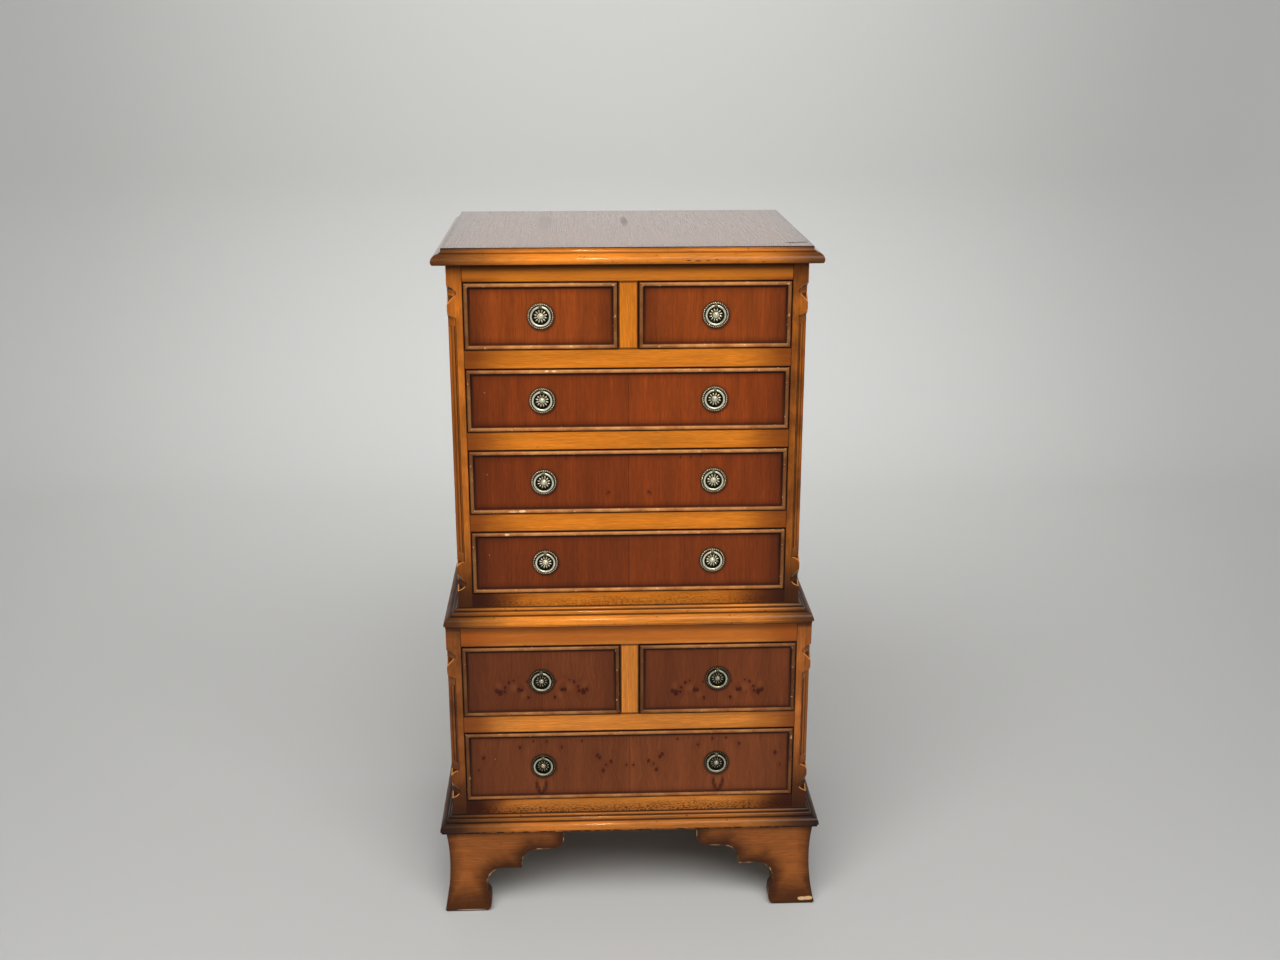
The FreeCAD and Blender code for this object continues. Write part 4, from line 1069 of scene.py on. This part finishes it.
screwLook = {
    "head": 3.2, "depth": 1.8, "shank": 1.5, "length": 18,
    "slotHalf": 0.4, "slotReach": 1.9, "slotDeep": 0.9, "steps": 24,
    "inset": 3.5, "edge": 40, "count": 4,         # mm from the back's sides and ends, and how many a side
    "steel": [(0.35, (92, 84, 74)), (0.5, (168, 166, 160)), (0.65, (196, 194, 188))],
    "spots": (500, 4, 0.6), "rough": (0.35, 0.65, 0.55, 0.32), "relief": (0.1, 0.1),
}


def crossScrew(shape, x, backY, z):
    # countersunk head with a cross recess pressed into it
    look = screwLook
    head = bmesh.new()
    profile = [
        (0, 0), (look["head"], 0), (look["shank"], -look["depth"]), (look["shank"], -look["length"]),
        (0, -look["length"]),
    ]
    lathe(head, profile, Vector((0, 0, 0)), (0, 1, 0), (0, 0, 1), look["steps"])
    bmesh.ops.remove_doubles(head, verts=head.verts, dist=weld)
    for axis in (Vector((1, 0, 0)), Vector((0, 0, 1))):
        for offset in (-look["slotReach"], -look["slotHalf"], look["slotHalf"], look["slotReach"]):
            top = [face for face in head.faces if abs(face.calc_center_median().y) < weld]
            edges = [edge for face in top for edge in face.edges]
            verts = [vert for face in top for vert in face.verts]
            bmesh.ops.bisect_plane(head, geom=list(dict.fromkeys(top + edges + verts)),
                                   plane_co=axis * offset * mm, plane_no=axis)
    recess = []
    for face in head.faces:
        spot = face.calc_center_median()
        near, far = sorted((abs(spot.x), abs(spot.z)))
        if abs(spot.y) < weld and near < look["slotHalf"] * mm and far < look["slotReach"] * mm:
            recess.append(face)
    pressed = bmesh.ops.extrude_face_region(head, geom=recess)
    bmesh.ops.translate(head, verts=vertsOf(pressed), vec=(0, -look["slotDeep"] * mm, 0))
    bmesh.ops.translate(head, verts=head.verts, vec=(x, backY, z))
    made = bpy.data.meshes.new("crossScrew")
    head.to_mesh(made)
    head.free()
    shape.from_mesh(made)
    bpy.data.meshes.remove(made)


def screwSteel():
    look = screwLook
    material, tree, shader = newMaterial("screwSteel")
    place, _ = coordinates(tree, (0, 0, 0))
    spots = cloud(tree, place, *look["spots"])
    colour = colourRamp(tree, spots, [(spot, tint(*tone)) for spot, tone in look["steel"]])
    plug(tree, shader.inputs["Base Color"], colour)
    plug(tree, shader.inputs["Roughness"], ease(tree, spots, *look["rough"]))
    emboss(tree, shader, spots, *look["relief"])
    shader.inputs["Metallic"].default_value = 1.0
    return material


shape = bmesh.new()
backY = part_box("back_screws")[1].y
for chest in ("upper", "lower"):
    low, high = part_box(chest + "_back")
    edge, count = screwLook["edge"] * mm, screwLook["count"]
    for side in (-1, 1):
        for number in range(count):
            up = low.z + edge + (high.z - low.z - 2 * edge) * number / (count - 1)
            crossScrew(shape, side * (high.x - screwLook["inset"] * mm), backY, up)
piece = newPiece("cross_screws", shape, screwSteel(), "carcase")
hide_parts("back_screws")
print("screws made")

stageLook = {
    "colour": (200, 200, 198), "width": 12, "front": 6, "turn": 1.8, "bend": 0.8, "wall": 5,      # m
    "steps": 24,
    "ambient": 0.13, "mirrored": 0.32, "seen": 0.56, "rough": 0.95, "shine": 0.1,
    "clear": (1.1, 2.8), "clearSide": 0.8,        # m from the middle where the floor turns plain
}
# lights: whether matt surfaces see a lamp, and whether the polish does
lamps = {
    "key": {
        "spot": (-0.6, -2.0, 2.9), "aim": (0, -0.1, 0.5), "size": 2.2, "power": 80, "spread": 180,
        "lights": (True, False), "glow": (1, 1, 1),
    },
    "fill": {
        "spot": (1.0, -2.4, 2.7), "aim": (0, 0, 0.45), "size": 1.8, "power": 44, "spread": 180,
        "lights": (True, True), "glow": (1, 1, 1),
    },
    "spark": {
        "spot": (-0.03, -2.3, 2.35), "aim": (0, -0.19, 0.6), "size": 0.08, "power": 20, "spread": 180,
        "lights": (False, True), "glow": (1, 0.84, 0.5),
    },
    "wall": {
        "spot": (0.2, 1.3, 3.4), "aim": (0, 2.5, 1.1), "size": 2.4, "power": 25, "spread": 90,
        "lights": (True, True), "glow": (1, 1, 1),
    },
}


def pullEdges(shape, edges, move):
    made = bmesh.ops.extrude_edge_only(shape, edges=edges)
    bmesh.ops.translate(shape, verts=vertsOf(made), vec=move)


def paleSweep():
    # where it is far from the object the camera sees plain grey, and nearer it keeps the shadow
    look = stageLook
    material, tree, shader = newMaterial("paleSweep")
    _, (x, y, _) = coordinates(tree, (0, 0, 0))
    rays = tree.nodes.new("ShaderNodeLightPath")
    away = largest(tree, times(tree, absolute(tree, x), look["clearSide"]), times(tree, y, -1.0))
    plain = times(tree, rays.outputs["Is Camera Ray"], ease(tree, away, *look["clear"]))
    plug(tree, shader.inputs["Base Color"], mix(tree, plain, tint(*look["colour"]), (0, 0, 0, 1)))
    shader.inputs["Roughness"].default_value = look["rough"]
    shader.inputs["Specular IOR Level"].default_value = look["shine"]
    shader.inputs["Emission Color"].default_value = (1, 1, 1, 1)
    plug(tree, shader.inputs["Emission Strength"], times(tree, plain, look["seen"]))
    return material


def studioFloor():
    # floor that sweeps up into a wall
    look = stageLook
    shape = bmesh.new()
    ends = [shape.verts.new((side * look["width"] / 2, look["turn"], 0)) for side in (-1, 1)]
    line = shape.edges.new(ends)
    pullEdges(shape, [line], (0, -look["turn"] - look["front"], 0))
    bend = bmesh.ops.spin(shape, geom=ends + [line], cent=(0, look["turn"], look["bend"]), axis=(1, 0, 0),
                          angle=math.pi / 2, steps=look["steps"])
    top = [e for e in bend["geom_last"] if isinstance(e, bmesh.types.BMEdge)]
    pullEdges(shape, top, (0, 0, look["wall"]))
    bmesh.ops.remove_doubles(shape, verts=shape.verts, dist=0.1 * mm)
    bmesh.ops.recalc_face_normals(shape, faces=shape.faces)
    mesh = bpy.data.meshes.new("sweep")
    shape.to_mesh(mesh)
    shape.free()
    mesh.materials.append(paleSweep())
    mesh.shade_smooth()
    sweep = bpy.data.objects.new("sweep", mesh)
    bpy.context.scene.collection.objects.link(sweep)


def studioLight():
    # even ambient light, large soft lamps and a small one for the polish
    look = stageLook
    world = bpy.data.worlds.new("studio")
    bpy.context.scene.world = world
    world.use_nodes = True
    tree = world.node_tree
    rays = tree.nodes.new("ShaderNodeLightPath").outputs
    background = tree.nodes["Background"]
    background.inputs["Color"].default_value = (1, 1, 1, 1)
    strength = ease(tree, rays["Is Glossy Ray"], 0, 1, look["ambient"], look["mirrored"])
    strength = ease(tree, rays["Is Camera Ray"], 0, 1, strength, look["seen"])
    plug(tree, background.inputs["Strength"], strength)
    for name, setup in lamps.items():
        lamp = bpy.data.lights.new(name, "AREA")
        lamp.size = setup["size"]
        lamp.energy = setup["power"]
        lamp.spread = math.radians(setup["spread"])
        lamp.color = setup["glow"]
        lampObject = bpy.data.objects.new(name, lamp)
        lampObject.location = setup["spot"]
        beam = Vector(setup["aim"]) - Vector(setup["spot"])
        lampObject.rotation_euler = beam.to_track_quat("-Z", "Y").to_euler()
        lampObject.visible_camera = False
        lampObject.visible_diffuse, lampObject.visible_glossy = setup["lights"]
        bpy.context.scene.collection.objects.link(lampObject)


studioFloor()
studioLight()

cameraLook = {
    "spot": (-0.06522, -2.11364, 1.23996), "turn": (1.2733588, 0.0003548, -0.0416475),
    "lens": 42.0, "sensor": 36,
}
camera = bpy.data.cameras.new("camera")
camera.sensor_width = cameraLook["sensor"]
camera.lens = cameraLook["lens"]
cameraObject = bpy.data.objects.new("camera", camera)
cameraObject.location = cameraLook["spot"]
cameraObject.rotation_euler = cameraLook["turn"]
bpy.context.scene.collection.objects.link(cameraObject)
bpy.context.scene.camera = cameraObject
bpy.context.scene.view_settings.view_transform = "Standard"
print("stage and camera set")
